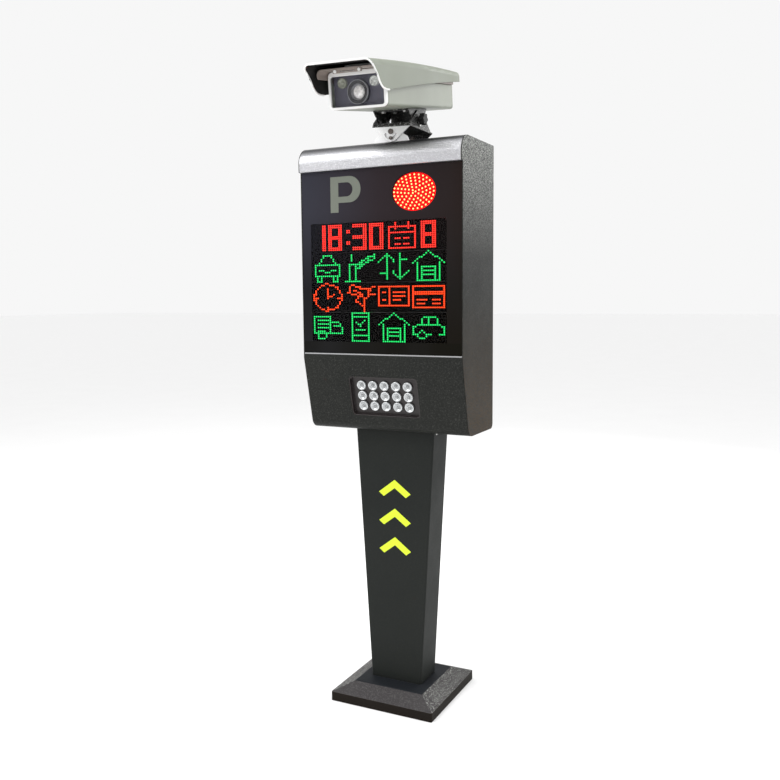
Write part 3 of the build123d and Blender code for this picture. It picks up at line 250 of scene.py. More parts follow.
def footFinish(name, look):
    # the foot's cover: smooth grey front slope, speckled side slopes, a flat top painted near black
    # as a painted dark reflection, and a skirt painted dark as painted shade
    finish = Finish(name)
    height = finish.axis("Z")
    broad = finish.noise(look["broad"], 3)
    grain = finish.noise(look["grain"], 2, 0.7)
    rounded = finish.softEdge(look["edge"])
    wear = finish.wornEdges(rounded, coatPlan["wearScale"], coatPlan["wearStops"])
    base = finish.blend(broad, look["colour"], look["second"])
    share = look["frontShare"] + (abs(finish.facing("X")) > look["turned"]) * look["sideShare"]
    tone = finish.blend(finish.ramp(grain, look["fleckStops"]) * share, base, look["fleck"])
    # the flat top painted near black as a painted dark reflection
    tone = finish.blend(height > look["top"], tone, look["flat"])
    # the skirt painted dark brown as painted shade
    tone = finish.blend(height < look["skirt"], tone, look["dark"])
    tone = finish.blend(wear * look["wear"], tone, look["worn"])
    finish.set(colour=tone, rough=look["rough"] + broad * look["roughSpread"], shine=look["shine"],
               normal=finish.bump(grain, look["bump"], look["depth"], rounded))
    return finish.material


metalPlan = {
    "edge": 0.0006, "patchStops": ((0.35, 0), (0.7, 1)), "scratchRough": 0.18, "patchRough": 0.12,
    "bump": 0.25, "depth": 0.0002}


def metalFinish(name, look):
    # plated or bare metal with fine directional scratches and dull patches
    finish = Finish(name)
    scratches = finish.stretched(look["scratch"], look["stretch"])
    patches = finish.noise(look["patch"], 4)
    rounded = finish.softEdge(metalPlan["edge"])
    dull = finish.ramp(patches, metalPlan["patchStops"])
    rough = look["rough"] + scratches * metalPlan["scratchRough"] + patches * metalPlan["patchRough"]
    finish.set(colour=finish.blend(dull, look["colour"], look["second"]), rough=rough, metal=1.0,
               normal=finish.bump(scratches, metalPlan["bump"], metalPlan["depth"], rounded))
    return finish.material


plasticPlan = {"flow": 18, "wornShare": 0.35, "roughSpread": 0.12, "shine": 0.4, "depth": 0.0003}


def plasticFinish(name, look):
    # moulded plastic: fine spark-eroded grain, faint flow marks, scuffed edges
    finish = Finish(name)
    grain = finish.noise(look["grain"], 3, 0.6)
    flow = finish.noise(plasticPlan["flow"], 2)
    rounded = finish.softEdge(look["edge"])
    tone = finish.blend(flow, look["colour"], look["second"])
    tone = finish.blend(finish.edgeMask(rounded) * plasticPlan["wornShare"], tone, look["worn"])
    finish.set(colour=tone, rough=look["rough"] + grain * plasticPlan["roughSpread"],
               shine=look.get("shine", plasticPlan["shine"]),
               normal=finish.bump(grain, look["bump"], plasticPlan["depth"], rounded))
    return finish.material


coatLooks = {
    "cabinetCoat": {
        "colour": (0.012, 0.013, 0.012), "second": (0.017, 0.018, 0.016),
        "fleck": (0.1, 0.1, 0.094), "worn": (0.12, 0.12, 0.11), "broad": 3.5, "grain": 420,
        "fleckFrom": 0.54, "fleckShare": 0.4, "edge": 0.0016, "wear": 0.3, "rough": 0.45,
        "roughSpread": 0.1, "metal": 0.0, "shine": 0.1, "bump": 0.5, "depth": 0.0009, "coat": 0.0,
        # the right flank's painted highlight high up and painted brownish warm light low down
        "side": {
            "turned": 0.5, "from": 1.17, "to": 1.5, "dustFrom": 1.1, "haze": (0.33, 0.34, 0.32),
            "dust": (0.05, 0.03, 0.012), "speckle": 330, "speckleStops": ((0.47, 0.1), (0.58, 1)),
            "dustGrowth": 2.6, "dustStops": ((0.0, 0), (0.9, 1))}},
    # the brow: the cabinet's charcoal coat made pale and metallic as a painted highlight, with
    # painted shade along its top
    "browHighlightCoat": {
        "colour": (0.44, 0.44, 0.46), "second": (0.48, 0.48, 0.5), "fleck": (0.75, 0.75, 0.77),
        "worn": (0.5, 0.5, 0.5), "broad": 3.5, "grain": 330, "fleckFrom": 0.52, "fleckShare": 0.5,
        "edge": 0.0016, "wear": 0.2, "rough": 0.34, "roughSpread": 0.06, "metal": 0.75,
        "shine": 0.6, "bump": 0.8, "depth": 0.001, "coat": 0.1,
        "band": (1.434, 1.452, 1, (0.022, 0.022, 0.025))},
    # the post's edges are lightened strongly: worn paint, and a painted edge highlight along its
    # corners
    "postCoat": {
        "colour": (0.014, 0.016, 0.015), "second": (0.019, 0.021, 0.019),
        "fleck": (0.05, 0.05, 0.046), "worn": (0.14, 0.14, 0.12), "broad": 2.5, "grain": 520,
        "fleckFrom": 0.58, "fleckShare": 0.3, "edge": 0.002, "wear": 0.8, "rough": 0.48,
        "roughSpread": 0.12, "metal": 0.0, "shine": 0.1, "bump": 0.25, "depth": 0.0005, "coat": 0.0},
    # the hood: the housing's sage paint made darker, as painted shade
    "hoodShadedCoat": {
        "colour": (0.2, 0.218, 0.175), "second": (0.22, 0.24, 0.195), "fleck": (0.28, 0.3, 0.25),
        "worn": (0.6, 0.62, 0.56), "broad": 6, "grain": 700, "fleckFrom": 0.6, "fleckShare": 0.25,
        "edge": 0.0015, "wear": 0.3, "rough": 0.4, "roughSpread": 0.1, "metal": 0.0, "shine": 0.3,
        "bump": 0.12, "depth": 0.0003, "coat": 0.0},
    "housingCoat": {
        "colour": (0.228, 0.246, 0.198), "second": (0.246, 0.268, 0.216),
        "fleck": (0.3, 0.32, 0.27), "worn": (0.6, 0.62, 0.56), "broad": 6, "grain": 700,
        "fleckFrom": 0.6, "fleckShare": 0.25, "edge": 0.0015, "wear": 0.3, "rough": 0.38,
        "roughSpread": 0.1, "metal": 0.0, "shine": 0.45, "bump": 0.12, "depth": 0.0003, "coat": 0.1},
    # the lid: brownish grey, painted as the shade it lies in under the hood
    "lidShadedCoat": {
        "colour": (0.26, 0.215, 0.19), "second": (0.3, 0.25, 0.22), "fleck": (0.36, 0.31, 0.29),
        "worn": (0.5, 0.45, 0.43), "broad": 6, "grain": 700, "fleckFrom": 0.6, "fleckShare": 0.25,
        "edge": 0.0015, "wear": 0.3, "rough": 0.4, "roughSpread": 0.1, "metal": 0.0, "shine": 0.45,
        "bump": 0.12, "depth": 0.0003, "coat": 0.05},
    "whiteCoat": {
        "colour": (0.86, 0.86, 0.85), "second": (0.8, 0.8, 0.79), "fleck": (0.9, 0.9, 0.9),
        "worn": (0.6, 0.6, 0.6), "broad": 8, "grain": 600, "fleckFrom": 0.6, "fleckShare": 0.2,
        "edge": 0.001, "wear": 0.15, "rough": 0.32, "roughSpread": 0.08, "metal": 0.0, "shine": 0.5,
        "bump": 0.1, "depth": 0.0003, "coat": 0.1},
    "bracketCoat": {
        "colour": (0.01, 0.01, 0.01), "second": (0.016, 0.016, 0.015), "fleck": (0.32, 0.32, 0.3),
        "worn": (0.3, 0.3, 0.28), "broad": 25, "grain": 300, "fleckFrom": 0.58, "fleckShare": 0.9,
        "edge": 0.0012, "wear": 0.7, "rough": 0.34, "roughSpread": 0.15, "metal": 0.3, "shine": 0.5,
        "bump": 0.4, "depth": 0.0007, "coat": 0.1},
    # near black coat for the painted shade inside the hood
    "hoodInnerShadeCoat": {
        "colour": (0.006, 0.006, 0.006), "second": (0.01, 0.01, 0.01), "fleck": (0.02, 0.02, 0.02),
        "worn": (0.05, 0.05, 0.05), "broad": 15, "grain": 600, "fleckFrom": 0.6, "fleckShare": 0.3,
        "edge": 0.0008, "wear": 0.1, "rough": 0.6, "roughSpread": 0.1, "metal": 0.0, "shine": 0.3,
        "bump": 0.2, "depth": 0.0004, "coat": 0.0}}
# the lower panel: the cabinet's coat with a painted highlight along the top of its lip
coatLooks["panelCoat"] = {**coatLooks["cabinetCoat"],
                          "band": (0.9308, 0.9325, -0.119, (0.36, 0.36, 0.37))}
metalLooks = {
    "zincSteel": {
        "colour": (0.62, 0.62, 0.6), "second": (0.42, 0.42, 0.41), "scratch": 260,
        "stretch": (1, 1, 6), "patch": 30, "rough": 0.28},
    "darkSteel": {
        "colour": (0.16, 0.14, 0.13), "second": (0.1, 0.09, 0.085), "scratch": 240,
        "stretch": (1, 5, 2), "patch": 40, "rough": 0.35},
    "bareAluminium": {
        "colour": (0.74, 0.74, 0.76), "second": (0.6, 0.6, 0.62), "scratch": 320,
        "stretch": (6, 1, 1), "patch": 26, "rough": 0.3}}
plasticLooks = {
    "blackPlastic": {
        "colour": (0.009, 0.009, 0.009), "second": (0.015, 0.015, 0.015),
        "worn": (0.06, 0.06, 0.06), "grain": 900, "edge": 0.0008, "rough": 0.5, "bump": 0.2},
    "moduleFace": {
        "colour": (0.003, 0.003, 0.003), "second": (0.005, 0.005, 0.005),
        "worn": (0.006, 0.006, 0.006), "grain": 900, "edge": 0.0004, "rough": 0.8, "bump": 0.1,
        "shine": 0.0},
    "trayPlastic": {
        "colour": (0.016, 0.013, 0.013), "second": (0.026, 0.02, 0.02), "worn": (0.12, 0.1, 0.1),
        "grain": 700, "edge": 0.0012, "rough": 0.3, "bump": 0.2},
    "palePlastic": {
        "colour": (0.55, 0.55, 0.52), "second": (0.62, 0.62, 0.6), "worn": (0.75, 0.75, 0.73),
        "grain": 900, "edge": 0.0008, "rough": 0.4, "bump": 0.15},
    "foamRubber": {
        "colour": (0.014, 0.014, 0.014), "second": (0.025, 0.025, 0.025),
        "worn": (0.04, 0.04, 0.04), "grain": 500, "edge": 0.001, "rough": 0.8, "bump": 0.6},
    "shroudPlastic": {
        "colour": (0.1, 0.1, 0.135), "second": (0.16, 0.155, 0.2), "worn": (0.3, 0.3, 0.33),
        "grain": 900, "edge": 0.0008, "rough": 0.35, "bump": 0.1},
    "paleFilm": {
        "colour": (0.135, 0.147, 0.123), "second": (0.152, 0.166, 0.138),
        "worn": (0.2, 0.212, 0.178), "grain": 1200, "edge": 0.0003, "rough": 0.5, "bump": 0.05,
        "shine": 0.15}}


boardLook = {
    "tracks": 140, "trackGap": 0.06, "pads": 260, "padStops": ((0.16, 1), (0.2, 0)),
    "mask": (0.012, 0.1, 0.035), "copper": (0.03, 0.2, 0.07), "solder": (0.6, 0.6, 0.55),
    "rough": 0.35, "padRough": -0.1, "coat": 0.4, "bump": 0.3, "depth": 0.0002}


def boardFinish(name, look):
    # circuit board: green mask, copper tracks under it, pale solder dots
    finish = Finish(name)
    tracks = finish.node("ShaderNodeTexBrick", {"offset": 0.5},
                         {"Vector": finish.place, "Scale": look["tracks"],
                          "Mortar Size": look["trackGap"]}, "Fac")
    pads = finish.ramp(finish.cells(look["pads"]), look["padStops"])
    tone = finish.blend(tracks, look["mask"], look["copper"])
    finish.set(colour=finish.blend(pads, tone, look["solder"]), coat=look["coat"],
               rough=look["rough"] + pads * look["padRough"],
               normal=finish.bump(tracks, look["bump"], look["depth"]))
    return finish.material


chevronLook = {
    "cells": 420, "scuffScale": 70, "scuffStops": ((0.62, 0), (0.72, 1)), "scuffShare": 0.25,
    "mottle": 25, "colour": (0.62, 0.8, 0.012), "second": (0.68, 0.86, 0.025),
    "scuffed": (0.4, 0.42, 0.1), "rough": 0.4, "roughSpread": 0.2, "glow": 0.05, "bump": 0.15,
    "depth": 0.0002}


def chevronFinish(name, look):
    # retroreflective film: bright yellow with a fine cell pattern and small scuffs, and a faint glow
    # as painted light thrown back by the film
    finish = Finish(name)
    scuffs = finish.ramp(finish.noise(look["scuffScale"], 5, 0.7), look["scuffStops"])
    tone = finish.blend(finish.noise(look["mottle"], 2), look["colour"], look["second"])
    # the faint glow is painted light thrown back by the film
    finish.set(colour=finish.blend(scuffs * look["scuffShare"], tone, look["scuffed"]),
               rough=look["rough"] + scuffs * look["roughSpread"],
               glow=tone, glowStrength=look["glow"],
               normal=finish.bump(finish.cells(look["cells"]), look["bump"], look["depth"]))
    return finish.material


def ovalReach(x, z, wide, tall):
    # 0 at the middle of an upright ellipse, 1 on its rim
    return ((x * (1 / wide)) ** 2 + (z * (1 / tall)) ** 2) ** 0.5


# the pane's colour: painted reflection, bluish at the left and warm at the right, and painted shade
# lower down
windowLook = {
    "left": -0.225, "span": 0.45,
    "sheenTints": ((0.03, 0.03, 0.041), (0.022, 0.016, 0.019), (0.015, 0.009, 0.008)),
    "leftStops": ((0.05, 0), (0.5, 1)), "rightStops": ((0.5, 0), (0.98, 1)),
    "shade": (0.003, 0.003, 0.001), "shadeAbove": 0.03, "shadeGrowth": 5,
    "shadeStops": ((0.0, 0), (1.0, 0.75)), "lowestShade": 0.15, "smear": 5,
    "smearStretch": (1, 1, 0.4), "smearStops": ((0.45, 0), (0.8, 1)), "smearShare": 0.4,
    "smearTone": (0.02, 0.02, 0.024), "clear": 0.6, "clearShade": 0.4, "rough": 0.07,
    "roughSpread": 0.05, "wave": 3, "bump": 0.02, "depth": 0.002, "shine": 0.08}


def windowFinish(name, look):
    # tinted pane: see-through over the lit areas and printed black behind the rest; its colour holds
    # a painted reflection and painted shade
    finish = Finish(name)
    x = finish.axis("X")
    z = finish.axis("Z")
    (low, high), (lampX, lampZ, lampWide, lampTall) = look["display"], look["lamp"]
    wide = abs(x - (low.x + high.x) / 2) < (high.x - low.x) / 2
    tall = abs(z - (low.z + high.z) / 2) < (high.z - low.z) / 2
    lamp = ovalReach(x - lampX, z - lampZ, lampWide, lampTall) < 1
    clear = lamp.calc("MAXIMUM", lamp, wide * tall)
    smears = finish.ramp(finish.stretched(look["smear"], look["smearStretch"]), look["smearStops"])
    across = (x - look["left"]) * (1 / look["span"])
    left, middle, right = look["sheenTints"]
    # painted reflection across the pane
    sheenTone = finish.blend(finish.ramp(across, look["leftStops"]), left, middle)
    sheenTone = finish.blend(finish.ramp(across, look["rightStops"]), sheenTone, right)
    # painted shade growing downwards
    below = finish.ramp((high.z + look["shadeAbove"] - z) * look["shadeGrowth"], look["shadeStops"])
    sheenTone = finish.blend(below + (z < low.z) * look["lowestShade"], sheenTone, look["shade"])
    sheenTone = finish.blend(smears * look["smearShare"], sheenTone, look["smearTone"])
    sheenTone = finish.blend(clear * look["clearShade"], sheenTone, (0.0, 0.0, 0.0))
    finish.set(colour=sheenTone, rough=look["rough"] + smears * look["roughSpread"],
               alpha=1 - clear * look["clear"], shine=look["shine"],
               normal=finish.bump(finish.noise(look["wave"], 1), look["bump"], look["depth"]))
    return finish.material


paneLook = {
    "streak": 14, "colour": (0.03, 0.03, 0.045), "second": (0.12, 0.12, 0.15), "alpha": 0.03,
    "spread": 0.12, "rough": 0.05, "roughSpread": 0.06, "coat": 0.5}


def paneFinish(name, look):
    # plain tinted pane with coating streaks
    finish = Finish(name)
    streaks = finish.noise(look["streak"], 3)
    finish.set(colour=finish.blend(streaks, look["colour"], look["second"]), coat=look["coat"],
               rough=look["rough"] + streaks * look["roughSpread"],
               alpha=look["alpha"] + streaks * look["spread"])
    return finish.material


roundPlan = {
    "brightest": 1.6, "farShare": 0.6, "roughSpread": 0.1, "coat": 0.6, "coatRough": 0.06,
    "bump": 0.3, "depth": 0.001}


def roundFinish(name, look):
    # rings about a point in the housing's frame, such as a lens, its drum or a lamp; on the lens and
    # the lamps the bright rings and sparkle are painted reflections
    finish = Finish(name)
    reach = None
    for centre in look["centres"]:
        offset = finish.node("ShaderNodeVectorMath", {"operation": "DISTANCE"},
                             {0: finish.place, 1: housingMatrix @ Vector(centre)}, "Value")
        reach = offset if reach is None else reach.calc("MINIMUM", reach, offset)
    sparkle = finish.cells(look["facet"])
    level = finish.ramp(reach * (1 / look["radius"]), look["rings"])
    facets = look["steady"] + sparkle * (roundPlan["brightest"] - look["steady"])
    tone = finish.blend(level * facets, look["dark"], look["light"])
    # the lamp on the -X side is painted darker and yellower, as painted shade
    if "farTint" in look:
        tone = finish.blend((finish.axis("X") < 0) * roundPlan["farShare"], tone, look["farTint"])
    # the lens and lamps also glow faintly, as a painted reflection
    finish.set(colour=tone, rough=look["rough"] + sparkle * roundPlan["roughSpread"],
               metal=look["metal"], coat=roundPlan["coat"], coatRough=roundPlan["coatRough"],
               glow=tone, glowStrength=look["glow"],
               normal=finish.bump(level, roundPlan["bump"], roundPlan["depth"]))
    return finish.material


cupLook = {
    "spacing": 0.0329, "squash": 0.92, "dark": (0.05, 0.05, 0.052), "light": (0.7, 0.72, 0.73),
    "rings": (
        (0.0, 0.55), (0.12, 0.3), (0.3, 0.28), (0.46, 0.8), (0.75, 0.6), (0.9, 1.0), (1.0, 0.5)),
    "facet": 420, "steady": 0.8, "sparkle": 0.5, "rough": 0.18, "roughSpread": 0.1, "metal": 0.3,
    "coat": 0.5, "coatRough": 0.08, "bump": 0.35, "depth": 0.003}


def cupFinish(name, look):
    # rows of reflector cups drawn in painted reflection: pale rim, grey bowl, darker middle with a
    # small bright chip
    finish = Finish(name)
    x = finish.axis("X") - look["x"]
    z = finish.axis("Z") - look["z"]
    halfAcross, halfAlong = look["halfPitch"]
    across = x.calc("WRAP", x, halfAcross, -halfAcross)
    along = z.calc("WRAP", z, halfAlong, -halfAlong)
    reach = ovalReach(across, along, look["radius"], look["radius"] * look["squash"])
    # the rings of painted reflection on each cup
    level = finish.ramp(reach, look["rings"])
    sparkle = finish.cells(look["facet"])
    facets = look["steady"] + sparkle * look["sparkle"]
    finish.set(colour=finish.blend(level * facets, look["dark"], look["light"]), metal=look["metal"],
               rough=look["rough"] + sparkle * look["roughSpread"],
               coat=look["coat"], coatRough=look["coatRough"],
               normal=finish.bump(reach, look["bump"], look["depth"]))
    return finish.material


lampPlan = {"rough": 0.3, "roughSpread": 0.1}


def lampFinish(name, look):
    # a lit surface, mottled between its glow and its hot colour
    finish = Finish(name)
    spread = finish.noise(look["spread"], 2)
    finish.set(colour=finish.blend(spread, look["body"], look["glow"]),
               rough=lampPlan["rough"] + spread * lampPlan["roughSpread"],
               glow=finish.blend(spread, look["glow"], look["hot"]), glowStrength=look["strength"])
    return finish.material


diodeLook = {
    "glow": (1.0, 0.001, 0.001), "hot": (1.0, 0.68, 0.24), "body": (0.5, 0.02, 0.01),
    "strength": 6.0, "tipStops": ((0.42, 0), (0.7, 1)), "mottle": 90, "rough": 0.25,
    "roughSpread": 0.1}


def diodeFinish(name, look):
    # round diode: hot towards its tip, saturated round its sides
    finish = Finish(name)
    tip = finish.ramp(0 - finish.facing("Y"), look["tipStops"])
    spread = finish.noise(look["mottle"], 2)
    finish.set(colour=finish.blend(spread, look["body"], look["glow"]),
               rough=look["rough"] + spread * look["roughSpread"],
               glow=finish.blend(tip, look["glow"], look["hot"]), glowStrength=look["strength"])
    return finish.material


signalBoardLook = {
    "body": (0.02, 0.02, 0.02), "unlit": (0, 0, 0), "glows": ((0.9, 0.0, 0.0), (1.0, 0.001, 0.001)),
    "strength": 6.0, "rimStops": ((0.9, 1), (1.0, 0)), "mottle": 180, "rough": 0.5,
    "roughSpread": 0.1}


def signalBoardFinish(name, look):
    # circuit board whose lit middle glows red between the diodes
    finish = Finish(name)
    x = finish.axis("X") - look["x"]
    z = finish.axis("Z") - look["z"]
    inside = finish.ramp(ovalReach(x, z, look["wide"], look["tall"]), look["rimStops"])
    mottle = finish.noise(look["mottle"], 2)
    lit = finish.blend(mottle, *look["glows"])
    finish.set(colour=look["body"], rough=look["rough"] + mottle * look["roughSpread"],
               glow=finish.blend(inside, look["unlit"], lit), glowStrength=look["strength"])
    return finish.material


bracketLook = {
    # painted glare colours for the front faces
    "paintedGlare": ((0.7, 0.7, 0.71), (0.9, 0.9, 0.9)), "dark": (0.008, 0.008, 0.008),
    "fleck": (0.5, 0.5, 0.48), "worn": (0.3, 0.3, 0.28), "grain": 380, "sparkle": 300,
    "sparkleStops": ((0.58, 0), (0.66, 1)), "sparkleShare": 0.9, "edge": 0.0012, "wearScale": 90,
    "wearStops": ((0.4, 0), (0.6, 1)), "wear": 0.7, "metal": 0.1, "frontMetal": 0.6, "rough": 0.36,
    "roughSpread": 0.12, "bump": 0.3, "depth": 0.0005}
bracketSplits = {
    "linkCoat": {"front": -0.0842, "split": 1.4992, "slant": 0.0314},
    "baseCoat": {"front": -0.0795, "split": 1.6, "slant": 0.0}}


def bracketFinish(name, look):
    # black coat, with the front faces below the split line painted bright and metallic as a painted
    # glare
    finish = Finish(name)
    height = finish.axis("Z") + finish.axis("X") * look["slant"]
    # the front faces below the split line get the painted glare
    front = (finish.axis("Y") < look["front"]) * (height < look["split"])
    grain = finish.noise(look["grain"], 3, 0.6)
    sparkle = finish.ramp(finish.noise(look["sparkle"], 2, 0.7), look["sparkleStops"])
    rounded = finish.softEdge(look["edge"])
    wear = finish.wornEdges(rounded, look["wearScale"], look["wearStops"])
    paintedGlare = finish.blend(grain, *look["paintedGlare"])
    dark = finish.blend(sparkle * look["sparkleShare"], look["dark"], look["fleck"])
    dark = finish.blend(wear * look["wear"], dark, look["worn"])
    finish.set(colour=finish.blend(front, dark, paintedGlare),
               metal=look["metal"] + front * look["frontMetal"],
               rough=look["rough"] + grain * look["roughSpread"],
               normal=finish.bump(grain, look["bump"], look["depth"], rounded))
    return finish.material


# lit colours are stronger than they look because the tinted window holds most of them back
lampLooks = {
    "redDots": {
        "glow": (1.0, 0.013, 0.008), "hot": (1.0, 0.05, 0.03), "body": (0.3, 0.01, 0.01),
        "spread": 300, "strength": 6.0},
    "greenDots": {
        "glow": (0.003, 0.58, 0.09), "hot": (0.02, 0.78, 0.18), "body": (0.01, 0.2, 0.04),
        "spread": 300, "strength": 5.0},
    "orangeDots": {
        "glow": (1.0, 0.03, 0.004), "hot": (1.0, 0.08, 0.012), "body": (0.3, 0.03, 0.01),
        "spread": 300, "strength": 6.0}}
lensLooks = {
    "cameraLens": {
        "centres": ((-0.003, 0.017, 0.037),), "radius": 0.017, "facet": 190, "steady": 0.6,
        "rings": (
            (0.0, 1), (0.24, 0.95), (0.3, 0.35), (0.38, 0.5), (0.62, 0.85), (0.8, 0.55),
            (0.95, 0.2)),
        "dark": (0.05, 0.05, 0.055), "light": (0.9, 0.88, 0.86), "rough": 0.1, "metal": 0.2,
        "glow": 0.3},
    "lensDrum": {
        "centres": ((-0.003, 0.0092, 0.037),), "radius": 0.03, "facet": 500, "steady": 0.9,
        "rings": (
            (0.0, 0.5), (0.56, 0.6), (0.63, 0.0), (0.85, 0.0), (0.875, 1), (0.9, 1), (0.93, 0.0)),
        "dark": (0.004, 0.004, 0.005), "light": (0.38, 0.38, 0.4), "rough": 0.25, "metal": 0.1,
        "glow": 0.0},
    "lampReflector": {
        "centres": ((-0.046, 0.016, 0.059), (0.038, 0.016, 0.0585)), "radius": 0.013, "facet": 260,
        "steady": 0.4,
        "rings": ((0.0, 1), (0.25, 0.9), (0.34, 0.45), (0.7, 0.75), (0.86, 0.3), (0.97, 0.9)),
        "dark": (0.09, 0.1, 0.08), "light": (0.85, 0.87, 0.84), "rough": 0.15, "metal": 0.2,
        "glow": 0.22, "farTint": (0.1, 0.11, 0.035)}}

lampLow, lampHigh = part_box("signal_board")
lampCentre = (lampLow + lampHigh) / 2
lampWide, lampTall = (lampHigh.x - lampLow.x) / 2, (lampHigh.z - lampLow.z) / 2
finishes = {name: coatedFinish(name, look) for name, look in coatLooks.items()}
finishes.update({name: metalFinish(name, look) for name, look in metalLooks.items()})
finishes.update({name: plasticFinish(name, look) for name, look in plasticLooks.items()})
finishes.update({name: lampFinish(name, look) for name, look in lampLooks.items()})
finishes.update({name: roundFinish(name, look) for name, look in lensLooks.items()})
finishes.update({name: bracketFinish(name, {**bracketLook, **split})
                 for name, split in bracketSplits.items()})
finishes["signalDots"] = diodeFinish("signalDots", diodeLook)
cupLow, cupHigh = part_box("fill_light_lenses")
cupMiddle = (cupLow + cupHigh) / 2
cupRadius = (cupHigh.x - cupLow.x) / 2 - cupLook["spacing"] * 2
cupRowPitch = (cupHigh.z - cupLow.z) / 2 - cupRadius * cupLook["squash"]
finishes["fillLens"] = cupFinish("fillLens", {
    **cupLook, "x": cupMiddle.x, "z": cupMiddle.z, "radius": cupRadius,
    "halfPitch": (cupLook["spacing"] / 2, cupRowPitch / 2)})
finishes["footCoat"] = footFinish("footCoat", footLook)
finishes["board"] = boardFinish("board", boardLook)
finishes["chevronFilm"] = chevronFinish("chevronFilm", chevronLook)
# the window's clear oval is a little inside the lamp board's edge
lampClear = {"shift": 0.003, "share": 0.97}
finishes["displayPane"] = windowFinish("displayPane", {
    **windowLook, "display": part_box("led_modules"),
    "lamp": (lampCentre.x + lampClear["shift"], lampCentre.z,
             lampWide * lampClear["share"], lampTall * lampClear["share"])})
finishes["cameraPane"] = paneFinish("cameraPane", paneLook)
finishes["signalBoard"] = signalBoardFinish("signalBoard", {
    **signalBoardLook, "x": lampCentre.x, "z": lampCentre.z, "wide": lampWide, "tall": lampTall})
print("finishes made:", len(finishes))

nodeFinish = {
    "zincSteel": [
        "base_plate", "cover_tabs", "post_head_plate", "post_screws", "floor_plate", "post_bolts",
        "display_rails", "gear_plate", "din_rail", "hinge_frame_leaves", "hinge_door_leaves",
        "bracket_base_bolts", "tilt_lock_bolts", "housing_bolts", "lock_barrel", "lock_cam"],
    "footCoat": ["base_cover_front", "base_cover_rear"],
    "postCoat": ["post"],
    "chevronFilm": ["chevron_decals"],
    "cabinetCoat": ["cabinet_body", "rear_door"],
    "panelCoat": ["lower_front_panel"],
    "browHighlightCoat": ["top_cover"],
    "displayPane": ["display_window"],
    "foamRubber": ["window_gasket", "door_gasket"],
    "paleFilm": ["parking_symbol"],
    "signalBoard": ["signal_board"],
    "signalDots": ["signal_leds"],
    "moduleFace": ["led_modules"],
    "blackPlastic": ["loudspeaker", "cabinet_gland", "tilt_knob_and_pivots", "camera_rear_gland"],
    "trayPlastic": ["fill_light_tray"],
    "board": ["display_card", "fill_light_board", "controller_board"],
    "fillLens": ["fill_light_lenses"],
    "bareAluminium": ["fill_light_heatsink", "power_supply", "camera_module"],
    "palePlastic": ["circuit_breaker", "terminal_block"],
    "darkSteel": ["roll_bolts"],
    "baseCoat": ["bracket_base"],
    "linkCoat": ["bracket_link"],
    "bracketCoat": ["bracket_top"],
    "housingCoat": ["camera_body", "camera_rear_cap"],
    "hoodShadedCoat": ["sun_hood"],
    "lidShadedCoat": ["camera_lid"],
    "whiteCoat": ["camera_front_frame", "hood_rails"],
    "cameraPane": ["camera_window"],
    "shroudPlastic": ["camera_front_plate"],
    "lensDrum": ["lens_barrel"],
    "cameraLens": ["lens_glass"],
    "lampReflector": ["ir_lamps"]}
for finishName, names in nodeFinish.items():
    for name in names:
        nodes[name].data.materials.clear()
        nodes[name].data.materials.append(finishes[finishName])


# modelling helpers

def clearSelection():
    bpy.ops.object.select_all(action="DESELECT")


def useOnly(piece):
    clearSelection()
    piece.select_set(True)
    bpy.context.view_layer.objects.active = piece


def deleteVerts(piece, unwanted):
    # removes the vertices chosen by the test, with their faces
    useOnly(piece)
    bpy.ops.object.mode_set(mode="EDIT")
    bpy.context.tool_settings.mesh_select_mode = (True, False, False)
    mesh = bmesh.from_edit_mesh(piece.data)
    for group in (mesh.verts, mesh.edges, mesh.faces):
        for part in group:
            part.select_set(False)
    for vert in mesh.verts:
        if unwanted(vert):
            vert.select_set(True)
    mesh.select_flush_mode()
    bmesh.update_edit_mesh(piece.data)
    bpy.ops.mesh.delete(type="VERT")
    bpy.ops.object.mode_set(mode="OBJECT")


smoothAngle = math.radians(35)


def finishPiece(piece, name, finishName, body):
    # place goes into the mesh, then the piece gets its finish and rides on its body
    useOnly(piece)
    bpy.ops.object.transform_apply(location=True, rotation=True, scale=True)
    piece.name = name
    piece.data.name = name
    piece.data.materials.clear()
    piece.data.materials.append(finishes[finishName])
    bpy.ops.object.shade_smooth_by_angle(angle=smoothAngle)
    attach(piece, body)


def copyTo(source, places):
    # the source's shape at every place, joined into one piece; the source is used up
    clearSelection()
    for place in places:
        copy = source.copy()
        copy.data = source.data.copy()
        copy.location = place
        bpy.context.scene.collection.objects.link(copy)
        copy.select_set(True)
        bpy.context.view_layer.objects.active = copy
    bpy.data.objects.remove(source)
    bpy.ops.object.join()
    return bpy.context.object


def applyModifier(piece, kind, settings):
    modifier = piece.modifiers.new(kind.title(), kind)
    for key, value in settings.items():
        setattr(modifier, key, value)
    useOnly(piece)
    bpy.ops.object.modifier_apply(modifier=modifier.name)


# display dots

displayPlan = {
    "columns": 64, "lines": 4, "lineDots": 16, "widths": {"digit": 8, ":": 4, "sign": 16},
    "dotRadius": 0.0019, "dotStretch": 1.2, "dotHeight": 0.0012, "dotSides": 8,
    "unlitRadius": 0.0014, "unlitHeight": 0.0005, "unlitSides": 6, "domeRings": 4, "flatFrom": 1e-6,
    "edgeGap": 0.4, "signSqueeze": 0.93, "digitStroke": 2}


def strokeDots(points, thick=1):
    # the grid cells that a chain of straight strokes passes
    dots = set()
    for (x0, y0), (x1, y1) in zip(points, points[1:]):
        steps = max(abs(x1 - x0), abs(y1 - y0), 1)
        for i in range(steps + 1):
            x = round(x0 + (x1 - x0) * i / steps)
            y = round(y0 + (y1 - y0) * i / steps)
            dots.update((x + k, y) for k in range(thick))
    return dots


